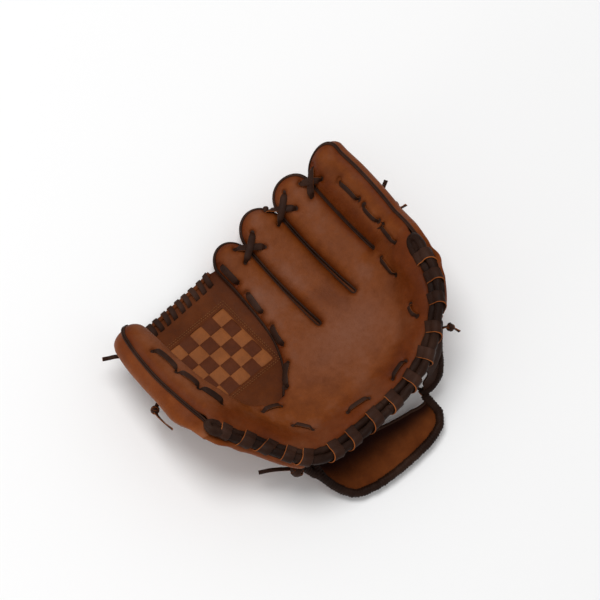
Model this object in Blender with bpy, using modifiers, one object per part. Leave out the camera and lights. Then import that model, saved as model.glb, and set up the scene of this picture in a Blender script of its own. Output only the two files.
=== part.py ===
"""A five-finger leather baseball glove for the left hand, resting on its back.

Every piece is laid out in the glove's own frame, in millimetres: U runs across the palm to the
little finger, V along the fingers to their tips and W out of the palm. The pocket is a smooth
bowl over U and V, and a piece is placed by its height H above (or below) that bowl.
"""
import math

import bmesh
import bpy
from mathutils import Vector

MM = 0.001
GAP = 0.3

# How the glove lies: the direction that points up, and the floor's height along it.
REST_UP = Vector((0.025, -0.256, 0.966)).normalized()
FLOOR = -25.65
BODY_CENTRE = Vector((2.2, -29.9))

# Leather, lining, welts and laces.
LEATHER = 2.4
LINING = 1.4
WELT_RADIUS = 1.0
LACE_WIDTH = 5.0
LACE_THICK = 1.5
EDGE_HEIGHT = 2.9
WRAP_WIDTH = 6.5
CROSS_RISE = 9.4
CROSS_SPOT = Vector((0.5, -9.0))
STRAP_ROLL = 4.0
STRAP_ROLL_DROP = 5.4
LINING_AWAY = (LEATHER + LINING) / 2.0 + GAP
FOLD_GAP = 0.035

# The pocket bowl.
TIP_CURL = 0.00198
HEEL_CURL = 0.00108
LITTLE_WALL = 111.0
LITTLE_SLOPE = 1.45
THUMB_WALL = -80.0
THUMB_SLOPE = 0.95

# Fingers between the thumb web and the outer edge: left and right edges at the slit end and at
# the tip, tip height along V, crown on the palm side and depth on the back.
SLIT_WIDTH = 5.0
SLIT_ENDS = (Vector((30.5, -19.0)), Vector((80.5, -17.0)), Vector((121.5, -4.0)))
SLIT_TOPS = (Vector((28.0, 88.0)), Vector((76.5, 92.0)), Vector((118.5, 92.0)))
TIP_V = {"index": 100.0, "middle": 107.5, "ring": 109.0}
CROWN = 9.0
BACK_DEPTH = 21.5
INDEX_EDGE = ((-51, -56), (-30, -33), (-17, -8), (-11, 18), (-9, 59), (-11, 88))

# Heel binding: its centre line, roll size and the width kept clear for it.
HEEL_LINE = ((-150, -60), (-140, -70), (-122, -86), (-103, -113), (-86, -130), (-66, -137),
             (-40, -139), (-8, -138), (30, -136), (58, -131), (84, -123), (106, -109),
             (122, -92), (135, -69), (142, -47))
THUMB_CORNER = 4
LITTLE_CORNER = 11
ROLL_RADIUS = 4.0
ROLL_OFFSET = 4.7
BINDING_HALF = 12.6
WRAP_SLACK = 1.9

# Thumb: outer edge (its welt) and inner edge (its seam with the web), from heel to tip.
THUMB_OUTER = ((-148, -44), (-153, -13), (-156, 18), (-154, 49), (-149, 74))
THUMB_INNER = ((-96, -58), (-104, -30), (-112, 0), (-116.5, 30), (-118.5, 55), (-121, 72))
THUMB_CROWN = 11.0
THUMB_DEPTH = 25.0
THUMB_TIP_V = 80.0

# Little finger: outer edge from heel to tip.
LITTLE_OUTER = ((145, -36), (149, -16), (152, 20), (152, 53), (150, 78))
LITTLE_TIP_V = 103.0
LITTLE_DEPTH = 20.0
HAND_DEPTH = 30.5

# Web: flatter than the pocket, and turned up where it meets the thumb. It has a window for the
# woven inlay, and a laced top edge.
WEB_CURL = 0.0007
WEB_WALL = -112.0
WEB_WALL_SLOPE = 1.9
WEB_LEFT = ((-87, -46), (-103, -28), (-112.5, 0), (-117, 30), (-119, 55), (-120.5, 74))
WINDOW_LOW = Vector((-104.0, -16.5))
WINDOW_SIZE = Vector((75.0, 75.0))
INLAY_STRIPS = 5
INLAY_THICK = 1.0
INLAY_CLEAR = 0.9
INLAY_SWAY = 0.8
INLAY_DEPTH = 5.0
BEAD_RADIUS = 3.1
WEB_LACE_CLEAR = 2.6
WEB_TOP = ((-120, 82), (-100, 83), (-64, 86), (-34, 89), (-18, 90))

# Wrist strap: its outer edge, from the thumb side to the little-finger side, and the direction
# that its width runs in, back towards the hand.
STRAP_LINE = ((-72, -132, -34), (-62, -148, -51), (-42, -157, -59), (0, -161, -61),
              (38, -157, -61), (60, -144, -57), (70, -128, -47))
STRAP_WIDTH = 50.0
STRAP_UP = Vector((0.0, 0.9, 0.43))

# Short tied ends of the laces: (U, V, W) from the knot outward.
LACE_ENDS = (
    ("thumb_tip_lace_end", "thumb", ((-158, 74, 45), (-164, 78, 44), (-170, 81, 45))),
    ("thumb_lace_end", "thumb", ((-160, 13, 26), (-166, 8, 28), (-168, -6, 30), (-167, -18, 30))),
    ("thumb_heel_lace_end", "thumb", ((-98, -117, 0), (-104, -110, -3), (-116, -100, -5),
                                      (-125, -94, -6))),
    ("little_finger_lace_end", "little", ((176, 38, 42), (167, 33, 36), (165, 20, 35),
                                          (166, 8, 37), (172, 4, 41))),
    ("heel_lace_end", "palm", ((111, -117, 25), (117, -121, 22), (121, -128, 18))),
)

# Fold axes, in front of all the leather beside them: (U, V, W) at the tip end and the heel end.
THUMB_FOLD = (Vector((-12.0, 90.0, 40.0)), Vector((-86.0, -131.0, 34.0)))
LITTLE_FOLD = (Vector((118.5, 92.0, 58.0)), Vector((106.0, -109.0, 58.0)))

BROWN = (0.155, 0.050, 0.018)
TAN = (0.27, 0.10, 0.033)
DARK = (0.032, 0.019, 0.015)
LINING_BROWN = (0.32, 0.10, 0.025)


def soft_ramp(x, width):
    return width * math.log1p(math.exp(x / width))


def smooth_step(x):
    x = max(0.0, min(1.0, x))
    return x * x * (3.0 - 2.0 * x)


def bowl(u, v):
    """The pocket surface: W over U and V."""
    on_thumb = smooth_step((-67.0 - u) / 44.0)
    tip = TIP_CURL * max(v + 22.0, 0.0) ** 2 * (1.0 - 0.45 * on_thumb)
    heel = HEEL_CURL * max(-v - 44.0, 0.0) ** 2
    little = LITTLE_SLOPE * soft_ramp(u - (LITTLE_WALL + 0.3 * min(v, 0.0)), 13.3)
    thumb = (THUMB_SLOPE + 0.00108 * (v + 44.0)) * soft_ramp(THUMB_WALL - u, 15.5)
    return tip + heel + little + thumb


def web_surface(u, v):
    """The web's own surface, W over U and V."""
    curl = WEB_CURL * max(v + 22.0, 0.0) ** 2
    near_index = bowl(u, v) * smooth_step((u + 34.0) / 30.0)
    rise = WEB_WALL_SLOPE * soft_ramp(WEB_WALL - u, 3.0)
    return curl + 0.35 * near_index + rise


def web_place(u, v, h):
    return Vector((u, v, web_surface(u, v) + h))


def surface_normal(surface, u, v):
    step = 0.5
    slope_u = (surface(u + step, v) - surface(u - step, v)) / (2.0 * step)
    slope_v = (surface(u, v + step) - surface(u, v - step)) / (2.0 * step)
    return Vector((-slope_u, -slope_v, 1.0)).normalized()


def bowl_normal(u, v):
    return surface_normal(bowl, u, v)


def web_normal(u, v):
    return surface_normal(web_surface, u, v)


def place(u, v, h):
    """The point at height h over the pocket surface at (u, v)."""
    return Vector((u, v, bowl(u, v))) + h * bowl_normal(u, v)


def along(points, t):
    """A smooth curve through the points, at t from 0 to 1 (Catmull-Rom)."""
    points = [Vector(point) for point in points]
    spans = len(points) - 1
    place_on = max(0.0, min(1.0, t)) * spans
    i = min(int(place_on), spans - 1)
    f = place_on - i
    p1, p2 = points[i], points[i + 1]
    p0 = points[i - 1] if i else 2.0 * p1 - p2
    p3 = points[i + 2] if i + 2 <= spans else 2.0 * p2 - p1
    return 0.5 * (2.0 * p1 + (p2 - p0) * f + (2.0 * p0 - 5.0 * p1 + 4.0 * p2 - p3) * f * f
                  + (3.0 * p1 - p0 - 3.0 * p2 + p3) * f ** 3)


def evenly(points, count):
    """count + 1 points along the smooth curve, equally spaced."""
    fine = [along(points, i / 200.0) for i in range(201)]
    lengths = [0.0]
    for a, b in zip(fine, fine[1:]):
        lengths.append(lengths[-1] + (b - a).length)
    result = []
    for k in range(count + 1):
        goal = lengths[-1] * k / count
        i = min(max(sum(length < goal for length in lengths), 1), 200)
        f = (goal - lengths[i - 1]) / (lengths[i] - lengths[i - 1])
        result.append(fine[i - 1].lerp(fine[i], f))
    return result


def shifted(points, distance):
    """A 2D line moved sideways, to the left of its direction."""
    moved = []
    for i, point in enumerate(points):
        ahead = points[min(i + 1, len(points) - 1)] - points[max(i - 1, 0)]
        moved.append(point + distance * Vector((-ahead.y, ahead.x)).normalized())
    return moved


# ------------------------------------------------------------------ Blender helpers

PIVOTS = {}
MATERIALS = {}


def material(name, colour, roughness):
    if name not in MATERIALS:
        new = bpy.data.materials.new(name)
        new.use_nodes = True
        shader = new.node_tree.nodes["Principled BSDF"]
        shader.inputs["Base Color"].default_value = (*colour, 1.0)
        shader.inputs["Roughness"].default_value = roughness
        shader.inputs["Metallic"].default_value = 0.0
        MATERIALS[name] = new
    return MATERIALS[name]


def finish(name, data, body, look):
    """Put mesh or curve data in the scene under its body's empty."""
    obj = bpy.data.objects.new(name, data)
    bpy.data.collections["baseball_glove"].objects.link(obj)
    obj.parent = PIVOTS[body]
    data.materials.append(material(*look))
    return obj


def local(point, body):
    """Glove millimetres to metres in the body's own frame."""
    return point * MM - PIVOTS[body].location


LOOK_LEATHER = ("brown_leather", BROWN, 0.5)
LOOK_BACK = ("back_leather", BROWN, 0.55)
LOOK_LACE = ("dark_lace", DARK, 0.6)
LOOK_LINING = ("lining_leather", LINING_BROWN, 0.7)
LOOK_PAD = ("wool_felt", (0.55, 0.50, 0.42), 0.95)
LOOK_LIGHT = ("light_inlay", TAN, 0.5)
LOOK_DARK = ("dark_inlay", (0.085, 0.030, 0.016), 0.5)


def floored(point):
    """A point of the outer leather, kept from sinking into the floor that the glove lies on."""
    return point + REST_UP * max(0.0, FLOOR - point.dot(REST_UP))


def mesh_from_rows(name, rows, body, look, closed=False):
    """Loft an open sheet through rows of points; closed joins each row into a ring."""
    mesh = bpy.data.meshes.new(name)
    count = len(rows[0])
    points = [local(point, body) for row in rows for point in row]
    faces = []
    for j in range(len(rows) - 1):
        for i in range(count if closed else count - 1):
            k = (i + 1) % count
            faces.append((j * count + i, j * count + k, (j + 1) * count + k, (j + 1) * count + i))
    mesh.from_pydata([tuple(point) for point in points], [], faces)
    return finish(name, mesh, body, look)


def add_thickness(obj, thickness, offset=-1.0):
    solidify = obj.modifiers.new("thickness", "SOLIDIFY")
    solidify.thickness = thickness * MM
    solidify.offset = offset
    solidify.use_even_offset = False


def tube(name, points, radius, body, look=LOOK_LACE):
    curve = bpy.data.curves.new(name, "CURVE")
    curve.dimensions = "3D"
    curve.bevel_depth = radius * MM
    curve.bevel_resolution = 1
    curve.use_fill_caps = True
    spline = curve.splines.new("POLY")
    spline.points.add(len(points) - 1)
    for point, spot in zip(spline.points, points):
        point.co = (*local(spot, body), 1.0)
    return finish(name, curve, body, look)


def face_outward(mesh):
    shape = bmesh.new()
    shape.from_mesh(mesh)
    bmesh.ops.recalc_face_normals(shape, faces=shape.faces)
    shape.to_mesh(mesh)
    shape.free()


def ribbon(name, centres, ups, width, thick, body, look=LOOK_LACE):
    """A flat lace: rectangular sections lofted along its centre line, with both ends closed."""
    mesh = bpy.data.meshes.new(name)
    points = []
    for i, (centre, up) in enumerate(zip(centres, ups)):
        ahead = (centres[min(i + 1, len(centres) - 1)] - centres[max(i - 1, 0)]).normalized()
        side = ahead.cross(up).normalized()
        rise = side.cross(ahead).normalized()
        for a, b in ((-1, -1), (1, -1), (1, 1), (-1, 1)):
            corner = centre + side * (a * width / 2.0) + rise * (b * thick / 2.0)
            points.append(tuple(local(corner, body)))
    last = len(points) - 4
    faces = [(3, 2, 1, 0), (last, last + 1, last + 2, last + 3)]
    for j in range(len(centres) - 1):
        for i in range(4):
            k = (i + 1) % 4
            faces.append((4 * j + i, 4 * j + k, 4 * j + 4 + k, 4 * j + 4 + i))
    mesh.from_pydata(points, [], faces)
    face_outward(mesh)
    return finish(name, mesh, body, look)


def surface_ribbon(name, stations, width, thick, body, look=LOOK_LACE):
    """A lace over the leather; stations are (u, v, height of its middle)."""
    centres = [place(*station) for station in stations]
    ups = [bowl_normal(station[0], station[1]) for station in stations]
    return ribbon(name, centres, ups, width, thick, body, look)


# ------------------------------------------------------------------ outlines

def across(f):
    """How a stall's height falls from its middle (1) to its edges (0); f runs 0 to 1."""
    x = abs(2.0 * f - 1.0)
    return max(0.0, 1.0 - x ** 2.4) ** 0.62


def across_back(f):
    """The same for the back of a stall, which is squarer."""
    x = abs(2.0 * f - 1.0)
    return max(0.0, 1.0 - x ** 4.0) ** 0.42


class Finger:
    """One finger's outline: left and right edges over V, closed by a round tip."""

    def __init__(self, left, right, v_low, v_tip):
        self.left = left
        self.right = right
        self.v_low = v_low
        self.v_tip = v_tip
        half = (right(v_tip - 20.0) - left(v_tip - 20.0)) / 2.0
        self.half = half

    def row(self, t):
        """(left u, right u, v, tip fade) at t from 0 at the palm to 1 at the tip."""
        v = self.v_low + (self.v_tip - 0.4 - self.v_low) * (1.0 - (1.0 - t) ** 1.5)
        over = (v - (self.v_tip - self.half)) / self.half
        fade = 1.0 if over <= 0.0 else math.sqrt(max(0.0, 1.0 - over * over))
        left, right = self.left(v), self.right(v)
        middle, half = (left + right) / 2.0, (right - left) / 2.0
        return middle - half * fade, middle + half * fade, v, fade


def line_over_v(points):
    """A function giving u for each v on a line whose points rise in v."""
    points = [Vector(point) for point in points]

    def at(v):
        if v <= points[0].y:
            return points[0].x
        for a, b in zip(points, points[1:]):
            if v <= b.y:
                f = (v - a.y) / (b.y - a.y)
                return a.x + (b.x - a.x) * f
        return points[-1].x
    return at


def slit_edge(k, side):
    half = side * SLIT_WIDTH / 2.0
    return line_over_v([SLIT_ENDS[k] + Vector((half, 0)), SLIT_TOPS[k] + Vector((half, 0))])


def fine_line(points, count=40):
    return [Vector(point) for point in evenly([Vector(p) for p in points], count)]


FINGERS = {
    "index": Finger(line_over_v(fine_line(INDEX_EDGE)), slit_edge(0, -1), -16.0, TIP_V["index"]),
    "middle": Finger(slit_edge(0, 1), slit_edge(1, -1), -16.0, TIP_V["middle"]),
    "ring": Finger(slit_edge(1, 1), slit_edge(2, -1), -16.0, TIP_V["ring"]),
}
LITTLE = Finger(slit_edge(2, 1), line_over_v(fine_line(LITTLE_OUTER)), -4.0, LITTLE_TIP_V)
THUMB = Finger(line_over_v(fine_line(THUMB_OUTER)), line_over_v(fine_line(THUMB_INNER)),
               -30.0, THUMB_TIP_V)


def heel_point(t):
    """The binding's centre line at t, counted in points of HEEL_LINE."""
    return along(HEEL_LINE, t / (len(HEEL_LINE) - 1))


def heel_edge(start, stop, count):
    """The edge of the leather along the heel, clear of the binding."""
    line = [heel_point(start + (stop - start) * i / count) for i in range(count + 1)]
    return shifted(line, BINDING_HALF)


def patch(bottom, top, left, right, rows):
    """A grid inside four edges (Coons patch); bottom and top have as many points."""
    columns = len(bottom) - 1
    grid = []
    for j in range(rows + 1):
        t = j / rows
        side_a, side_b = left(t), right(t)
        row = []
        for i in range(columns + 1):
            s = i / columns
            corners = ((1 - s) * (1 - t) * bottom[0] + s * (1 - t) * bottom[-1]
                       + (1 - s) * t * top[0] + s * t * top[-1])
            row.append((1 - t) * bottom[i] + t * top[i] + (1 - s) * side_a + s * side_b - corners)
        grid.append(row)
    return grid


# ------------------------------------------------------------------ palm and fingers

COLUMNS = 8
FINGER_ROWS = 12
PALM_ROWS = 9
NAMES = ("index", "middle", "ring")


def front_rise(t):
    """How much of its full crown a finger has at t along it."""
    return 0.45 + 0.55 * smooth_step(3.0 * t)


def palm_columns():
    """Points across the top of the palm, shared with the fingers above, and each one's height."""
    points, heights = [], []
    for name in NAMES:
        left, right, v, _ = FINGERS[name].row(0.0)
        for i in range(COLUMNS + 1):
            f = i / COLUMNS
            points.append(Vector((left + (right - left) * f, v)))
            heights.append(CROWN * 0.45 * across(f))
    return points, heights


def palm_grid():
    top, heights = palm_columns()
    bottom = heel_edge(THUMB_CORNER + 0.12, LITTLE_CORNER - 0.12, len(top) - 1)
    edge = [bottom[0], Vector((-66, -84)), Vector((-50, -55)), Vector((-32, -35)), top[0]]
    side = [bottom[-1], Vector((101, -72)), Vector((112, -42)), top[-1]]
    return patch(bottom, top, lambda t: along(edge, t), lambda t: along(side, t), PALM_ROWS), heights


def make_palm_shell():
    """The palm leather with the fronts of three fingers, one sheet."""
    grid, heights = palm_grid()
    vertices, faces, index = [], [], {}

    def add(key, u, v, h):
        if key not in index:
            index[key] = len(vertices)
            vertices.append(tuple(local(place(u, v, EDGE_HEIGHT + h), "palm")))
        return index[key]

    columns = len(grid[0])
    for j, row in enumerate(grid):
        fade = smooth_step(j / PALM_ROWS * 1.6 - 0.6)
        for i, point in enumerate(row):
            add(("palm", j, i), point.x, point.y, heights[i] * fade)
    for j in range(PALM_ROWS):
        for i in range(columns - 1):
            faces.append([index[("palm", j + b, i + a)] for a, b in ((0, 0), (1, 0), (1, 1), (0, 1))])
    for k, name in enumerate(NAMES):
        for j in range(1, FINGER_ROWS + 1):
            left, right, v, fade = FINGERS[name].row(j / FINGER_ROWS)
            rise = CROWN * front_rise(j / FINGER_ROWS) * fade ** 1.4
            for i in range(COLUMNS + 1):
                f = i / COLUMNS
                add((name, j, i), left + (right - left) * f, v, rise * across(f))
        for i in range(COLUMNS + 1):
            index[(name, 0, i)] = index[("palm", PALM_ROWS, k * (COLUMNS + 1) + i)]
        for j in range(FINGER_ROWS):
            for i in range(COLUMNS):
                faces.append([index[(name, j + b, i + a)]
                              for a, b in ((0, 0), (1, 0), (1, 1), (0, 1))])
    mesh = bpy.data.meshes.new("palm_shell")
    mesh.from_pydata(vertices, [], faces)
    add_thickness(finish("palm_shell", mesh, "palm", LOOK_LEATHER), LEATHER)


def sheet_in_palm(name, height, inset_rows, inset_columns, thick, look):
    """A layer under the palm leather, short of its edges."""
    grid, _ = palm_grid()
    rows = []
    for row in grid[inset_rows:PALM_ROWS - 1]:
        inner = row[inset_columns:len(row) - inset_columns:2]
        rows.append([place(point.x, point.y, height) for point in inner])
    add_thickness(mesh_from_rows(name, rows, "palm", look), thick)


def stall_rows(finger, steps, side, crown):
    """Rows of points over one side of a finger: side 1 is the palm side, -1 the back."""
    rows = []
    for j in range(steps + 1):
        left, right, v, fade = finger.row(j / steps)
        row = []
        for i in range(COLUMNS + 1):
            f = i / COLUMNS
            u = left + (right - left) * f
            profile = across(f) * fade ** 1.4 if side > 0 else across_back(f) * fade
            row.append(floored(place(u, v, side * (EDGE_HEIGHT + crown * profile))))
        rows.append(row)
    return rows


def make_back(name, finger, depth, body):
    """The outer leather behind one stall."""
    rows = stall_rows(finger, 8, -1, depth)
    sheet = mesh_from_rows(name, [list(reversed(row)) for row in rows], body, LOOK_BACK)
    add_thickness(sheet, LEATHER)


def make_stall(name, finger, crown, depth, body):
    """The soft lining sleeve inside one stall, open to the hand."""
    inset = 4.2
    rings = []
    for j in range(8):
        t = 0.04 + 0.82 * j / 7
        left, right, v, fade = finger.row(t)
        middle, half = (left + right) / 2.0, (right - left) / 2.0 - inset
        shrink = 1.0 if j < 7 else 0.12
        ring = []
        for k in range(14):
            angle = 2.0 * math.pi * k / 14
            reach = crown * front_rise(t) - 1.2 if math.sin(angle) > 0 else depth - 3.6
            h = shrink * fade * reach * math.sin(angle)
            ring.append(place(middle + half * fade * shrink * math.cos(angle), v, h))
        rings.append(ring)
    mesh = mesh_from_rows(name, rings, body, LOOK_LINING, closed=True)
    cap = bmesh.new()
    cap.from_mesh(mesh.data)
    cap.verts.ensure_lookup_table()
    cap.faces.new([cap.verts[len(cap.verts) - 14 + k] for k in range(14)])
    bmesh.ops.recalc_face_normals(cap, faces=cap.faces)
    cap.to_mesh(mesh.data)
    cap.free()
    add_thickness(mesh, LINING)


def outline(finger, from_t, to_t, offset, side, count):
    """Points round a stall's edge, offset outward; side -1 is the left edge, 1 the right."""
    points = []
    for j in range(count + 1):
        left, right, v, _ = finger.row(from_t + (to_t - from_t) * j / count)
        points.append(Vector((left if side < 0 else right, v)))
    return shifted(points, -side * offset)


def tip_loop(finger, from_left, from_right, offset, count=12):
    """The line round a fingertip, from a place on its left edge to one on its right edge."""
    left = outline(finger, from_left, 1.0, offset, -1, count)
    right = outline(finger, from_right, 1.0, offset, 1, count)
    return left + list(reversed(right))


def make_welts():
    offset = WELT_RADIUS + GAP
    for name in NAMES:
        start = 0.62 if name != "index" else 0.0
        line = tip_loop(FINGERS[name], start, 0.62, offset)
        tube(name + "_welt", [place(p.x, p.y, 0.0) for p in line], WELT_RADIUS, "palm")
    for k in (0, 1):
        left, right = (FINGERS[NAMES[k]], FINGERS[NAMES[k + 1]])
        down = list(reversed(outline(left, 0.03, 0.56, offset, 1, 8)))
        up = outline(right, 0.03, 0.56, offset, -1, 8)
        line = down + up
        tube("slit_welt_%d" % (k + 1), [place(p.x, p.y, 0.0) for p in line], WELT_RADIUS, "palm")
    ring_side = outline(FINGERS["ring"], 0.2, 0.56, offset, 1, 8)
    tube("slit_welt_3", [place(p.x, p.y, 0.0) for p in ring_side], WELT_RADIUS, "palm")
    little_line = tip_loop(LITTLE, 0.05, 0.0, offset, 16)
    heel_side = [Vector((145.5, -33.0)), Vector((148.5, -18.0))]
    line = [p for p in little_line if p.x < 140 or p.y > -4] + list(reversed(heel_side))
    tube("little_finger_welt", [place(p.x, p.y, 0.0) for p in line], WELT_RADIUS, "little")
    line = outline(THUMB, 0.35, 1.0, offset, 1, 8)
    line += list(reversed(outline(THUMB, 0.0, 1.0, offset, -1, 16)))
    tube("thumb_welt", [place(p.x, p.y, 0.0) for p in line], WELT_RADIUS, "thumb")


def make_hand_back():
    """The leather over the back of the hand, open at the wrist."""
    grid, _ = palm_grid()
    rows = []
    for j, row in enumerate(grid[2:]):
        row = row[::2]
        count = len(row) - 1
        rows.append([floored(place(p.x, p.y, -EDGE_HEIGHT - HAND_DEPTH * across_back(i / count)))
                     for i, p in enumerate(row)])
    rows[-1] = [point + Vector((0.0, -1.6, 0.0)) for point in rows[-1]]
    sheet = mesh_from_rows("hand_back", [list(reversed(row)) for row in rows], "palm", LOOK_BACK)
    add_thickness(sheet, LEATHER)


# ------------------------------------------------------------------ thumb, web, little finger

def make_pouch(prefix, body, finger, base, crown, depth):
    """A stall's front and back leather, carried on down to the heel binding."""
    for side, name, height, look, profile in (
            (1, prefix + "_front", crown, LOOK_LEATHER, across),
            (-1, prefix + "_back", depth, LOOK_BACK, across_back)):
        rows = []
        for j, row in enumerate(base[:-1]):
            rise = height * (0.1 + 0.9 * smooth_step(j / (len(base) - 1)))
            rows.append([place(p.x, p.y, side * (EDGE_HEIGHT + rise * profile(i / COLUMNS)))
                         for i, p in enumerate(row)])
        rows += stall_rows(finger, 9, side, height)
        if side < 0:
            rows = [list(reversed(row)) for row in rows]
        add_thickness(mesh_from_rows(name, rows, body, look), LEATHER)
    make_stall(prefix + "_stall", finger, crown, depth, body)


def stall_foot(finger):
    left, right, v, _ = finger.row(0.0)
    return [Vector((left + (right - left) * i / COLUMNS, v)) for i in range(COLUMNS + 1)]


def make_thumb():
    top = stall_foot(THUMB)
    bottom = heel_edge(0.9, THUMB_CORNER - 0.12, COLUMNS)
    inner = [bottom[-1], Vector((-67.5, -84)), Vector((-53.5, -59)), Vector((-78, -50)), top[-1]]
    outer = [bottom[0], Vector((-142, -52)), Vector((-149, -42)), top[0]]
    base = patch(bottom, top, lambda t: along(outer, t), lambda t: along(inner, t), 6)
    make_pouch("thumb", "thumb", THUMB, base, THUMB_CROWN, THUMB_DEPTH)


def make_little_finger():
    top = stall_foot(LITTLE)
    bottom = heel_edge(LITTLE_CORNER + 0.12, 13.6, COLUMNS)
    inner = [bottom[0], Vector((102.5, -72)), Vector((114.5, -40)), top[0]]
    outer = [bottom[-1], Vector((134.5, -42)), Vector((144.5, -30)), top[-1]]
    base = patch(bottom, top, lambda t: along(inner, t), lambda t: along(outer, t), 6)
    make_pouch("little_finger", "little", LITTLE, base, CROWN, LITTLE_DEPTH)


def web_grid(rows, columns):
    """Points of the web between its seams with the thumb and the index finger."""
    clear = 2.0 * (WELT_RADIUS + GAP) + 0.8
    right = [Vector((-53.5, -52))] + [Vector((u - clear, v)) for u, v in INDEX_EDGE[1:-1]]
    right.append(Vector((-13.5 - clear, 83)))
    left = [Vector(p) for p in WEB_LEFT]
    return [[along(left, j / rows).lerp(along(right, j / rows), i / columns)
             for i in range(columns + 1)] for j in range(rows + 1)]


def make_web():
    """The web leather with its square window, and the strips woven behind it."""
    rows = [[web_place(p.x, p.y, 0.0) for p in row] for row in web_grid(12, 14)]
    web = mesh_from_rows("web_panel", rows, "thumb", LOOK_LEATHER)
    add_thickness(web, LEATHER)
    middle = WINDOW_LOW + WINDOW_SIZE / 2.0
    cut_window(web, "web_window_cutter", local(Vector((middle.x, middle.y, 20.0)), "thumb"))
    for k in range(INLAY_STRIPS):
        make_strip("inlay_light_%d" % (k + 1), k, 1, LOOK_LIGHT)
        make_strip("inlay_dark_%d" % (k + 1), k, 0, LOOK_DARK)


def to_cutters(obj, parent):
    for collection in list(obj.users_collection):
        collection.objects.unlink(obj)
    bpy.data.collections["cutters"].objects.link(obj)
    obj.parent = parent
    obj.hide_render = True
    obj.display_type = "WIRE"


def add_boolean(obj, other, operation):
    boolean = obj.modifiers.new(operation.lower(), "BOOLEAN")
    boolean.operation = operation
    boolean.solver = "EXACT"
    boolean.object = other


def cut_window(web, name, location):
    bpy.ops.mesh.primitive_cube_add(size=1.0)
    cutter = bpy.context.object
    cutter.name = name
    to_cutters(cutter, PIVOTS["thumb"])
    cutter.location = location
    cutter.scale = (WINDOW_SIZE.x * MM, WINDOW_SIZE.y * MM, 100.0 * MM)
    add_boolean(web, cutter, "DIFFERENCE")


def make_strip(name, k, axis, look):
    """One woven strip: axis 1 runs along V, axis 0 along U, over and under in turn."""
    cell = WINDOW_SIZE[axis] / INLAY_STRIPS
    other_cell = WINDOW_SIZE[1 - axis] / INLAY_STRIPS
    stations = []
    for i in range(2 * INLAY_STRIPS):
        number = i // 2
        over = 1 if (number + k + axis) % 2 else -1
        along_strip = number * cell + (cell - INLAY_CLEAR if i % 2 else INLAY_CLEAR)
        spot = [0.0, 0.0]
        spot[axis] = WINDOW_LOW[axis] + along_strip
        spot[1 - axis] = WINDOW_LOW[1 - axis] + (k + 0.5) * other_cell
        stations.append(web_place(spot[0], spot[1], -INLAY_DEPTH + INLAY_SWAY * over))
    ups = [web_normal(station.x, station.y) for station in stations]
    ribbon(name, stations, ups, other_cell - 2.0 * INLAY_CLEAR, INLAY_THICK, "thumb", look)


# ------------------------------------------------------------------ heel binding

def binding_frames(start, stop, count):
    """Centre, outward and normal directions along the heel binding."""
    frames = []
    for i in range(count + 1):
        t = start + (stop - start) * i / count
        point = heel_point(t)
        ahead = heel_point(min(t + 0.05, len(HEEL_LINE) - 1)) - heel_point(max(t - 0.05, 0.0))
        outward = Vector((ahead.y, -ahead.x)).normalized()
        centre = place(point.x, point.y, 0.0)
        beside = place(point.x + outward.x, point.y + outward.y, 0.0)
        frames.append((centre, (beside - centre).normalized(), bowl_normal(point.x, point.y)))
    return frames


def roll_line(frames, offset):
    return [centre + outward * offset for centre, outward, _ in frames]


def make_binding():
    """Two leather rolls along the heel, folded back at both ends, and the lace round them."""
    root = binding_frames(THUMB_CORNER + FOLD_GAP, LITTLE_CORNER - FOLD_GAP, 22)
    tube("heel_roll_inner", roll_line(root, -ROLL_OFFSET), ROLL_RADIUS, "palm")
    tube("heel_roll_outer", roll_line(root, ROLL_OFFSET), ROLL_RADIUS, "palm")
    folded_roll("thumb_roll", "thumb", THUMB_CORNER - FOLD_GAP, 0.45)
    folded_roll("little_finger_roll", "little", LITTLE_CORNER + FOLD_GAP, 13.55)
    make_wrap("heel_wrap", "palm", THUMB_CORNER + 0.16, LITTLE_CORNER - 0.16, 12)
    make_wrap("thumb_wrap", "thumb", THUMB_CORNER - 0.16, 1.05, 4)
    make_wrap("little_finger_wrap", "little", LITTLE_CORNER + 0.16, 12.85, 3)


def folded_roll(name, body, start, stop):
    """A roll that runs out along the heel and back, round a tight loop."""
    frames = binding_frames(start, stop, 10)
    centre, outward, _ = frames[-1]
    ahead = (frames[-1][0] - frames[-2][0]).normalized()
    turn = []
    for k in range(1, 6):
        angle = math.pi * k / 6
        turn.append(centre + (ahead * math.sin(angle) - outward * math.cos(angle)) * ROLL_OFFSET)
    line = roll_line(frames, -ROLL_OFFSET) + turn + list(reversed(roll_line(frames, ROLL_OFFSET)))
    tube(name, line, ROLL_RADIUS, body)


def make_wrap(name, body, start, stop, turns):
    """The flat lace wound round both rolls."""
    radius = ROLL_RADIUS + GAP + LACE_THICK / 2.0 + WRAP_SLACK
    loop = [(side, math.radians(turn)) for side, turns_of_side in
            ((1, (-90, -45, 0, 45, 90)), (-1, (90, 135, 180, 225, 270))) for turn in turns_of_side]
    frames = binding_frames(start, stop, turns * len(loop))
    centres, ups = [], []
    for i, (centre, outward, normal) in enumerate(frames):
        side, angle = loop[i % len(loop)]
        up = outward * math.cos(angle) + normal * math.sin(angle)
        centres.append(centre + outward * (side * ROLL_OFFSET) + up * radius)
        ups.append(up)
    ribbon(name, centres, ups, WRAP_WIDTH, LACE_THICK, body)


# ------------------------------------------------------------------ laces

LACE_TOP = EDGE_HEIGHT + LACE_THICK / 2.0 + GAP


def strand(name, spot, start, stop, slope, body):
    """One strand of a crossed lace, over the slit between two fingertips."""
    stations = []
    for i in range(7):
        x = start + (stop - start) * i / 6
        stations.append((spot.x + x, spot.y + x * slope, LACE_TOP + CROSS_RISE))
    return surface_ribbon(name, stations, LACE_WIDTH, LACE_THICK, body)


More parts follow.
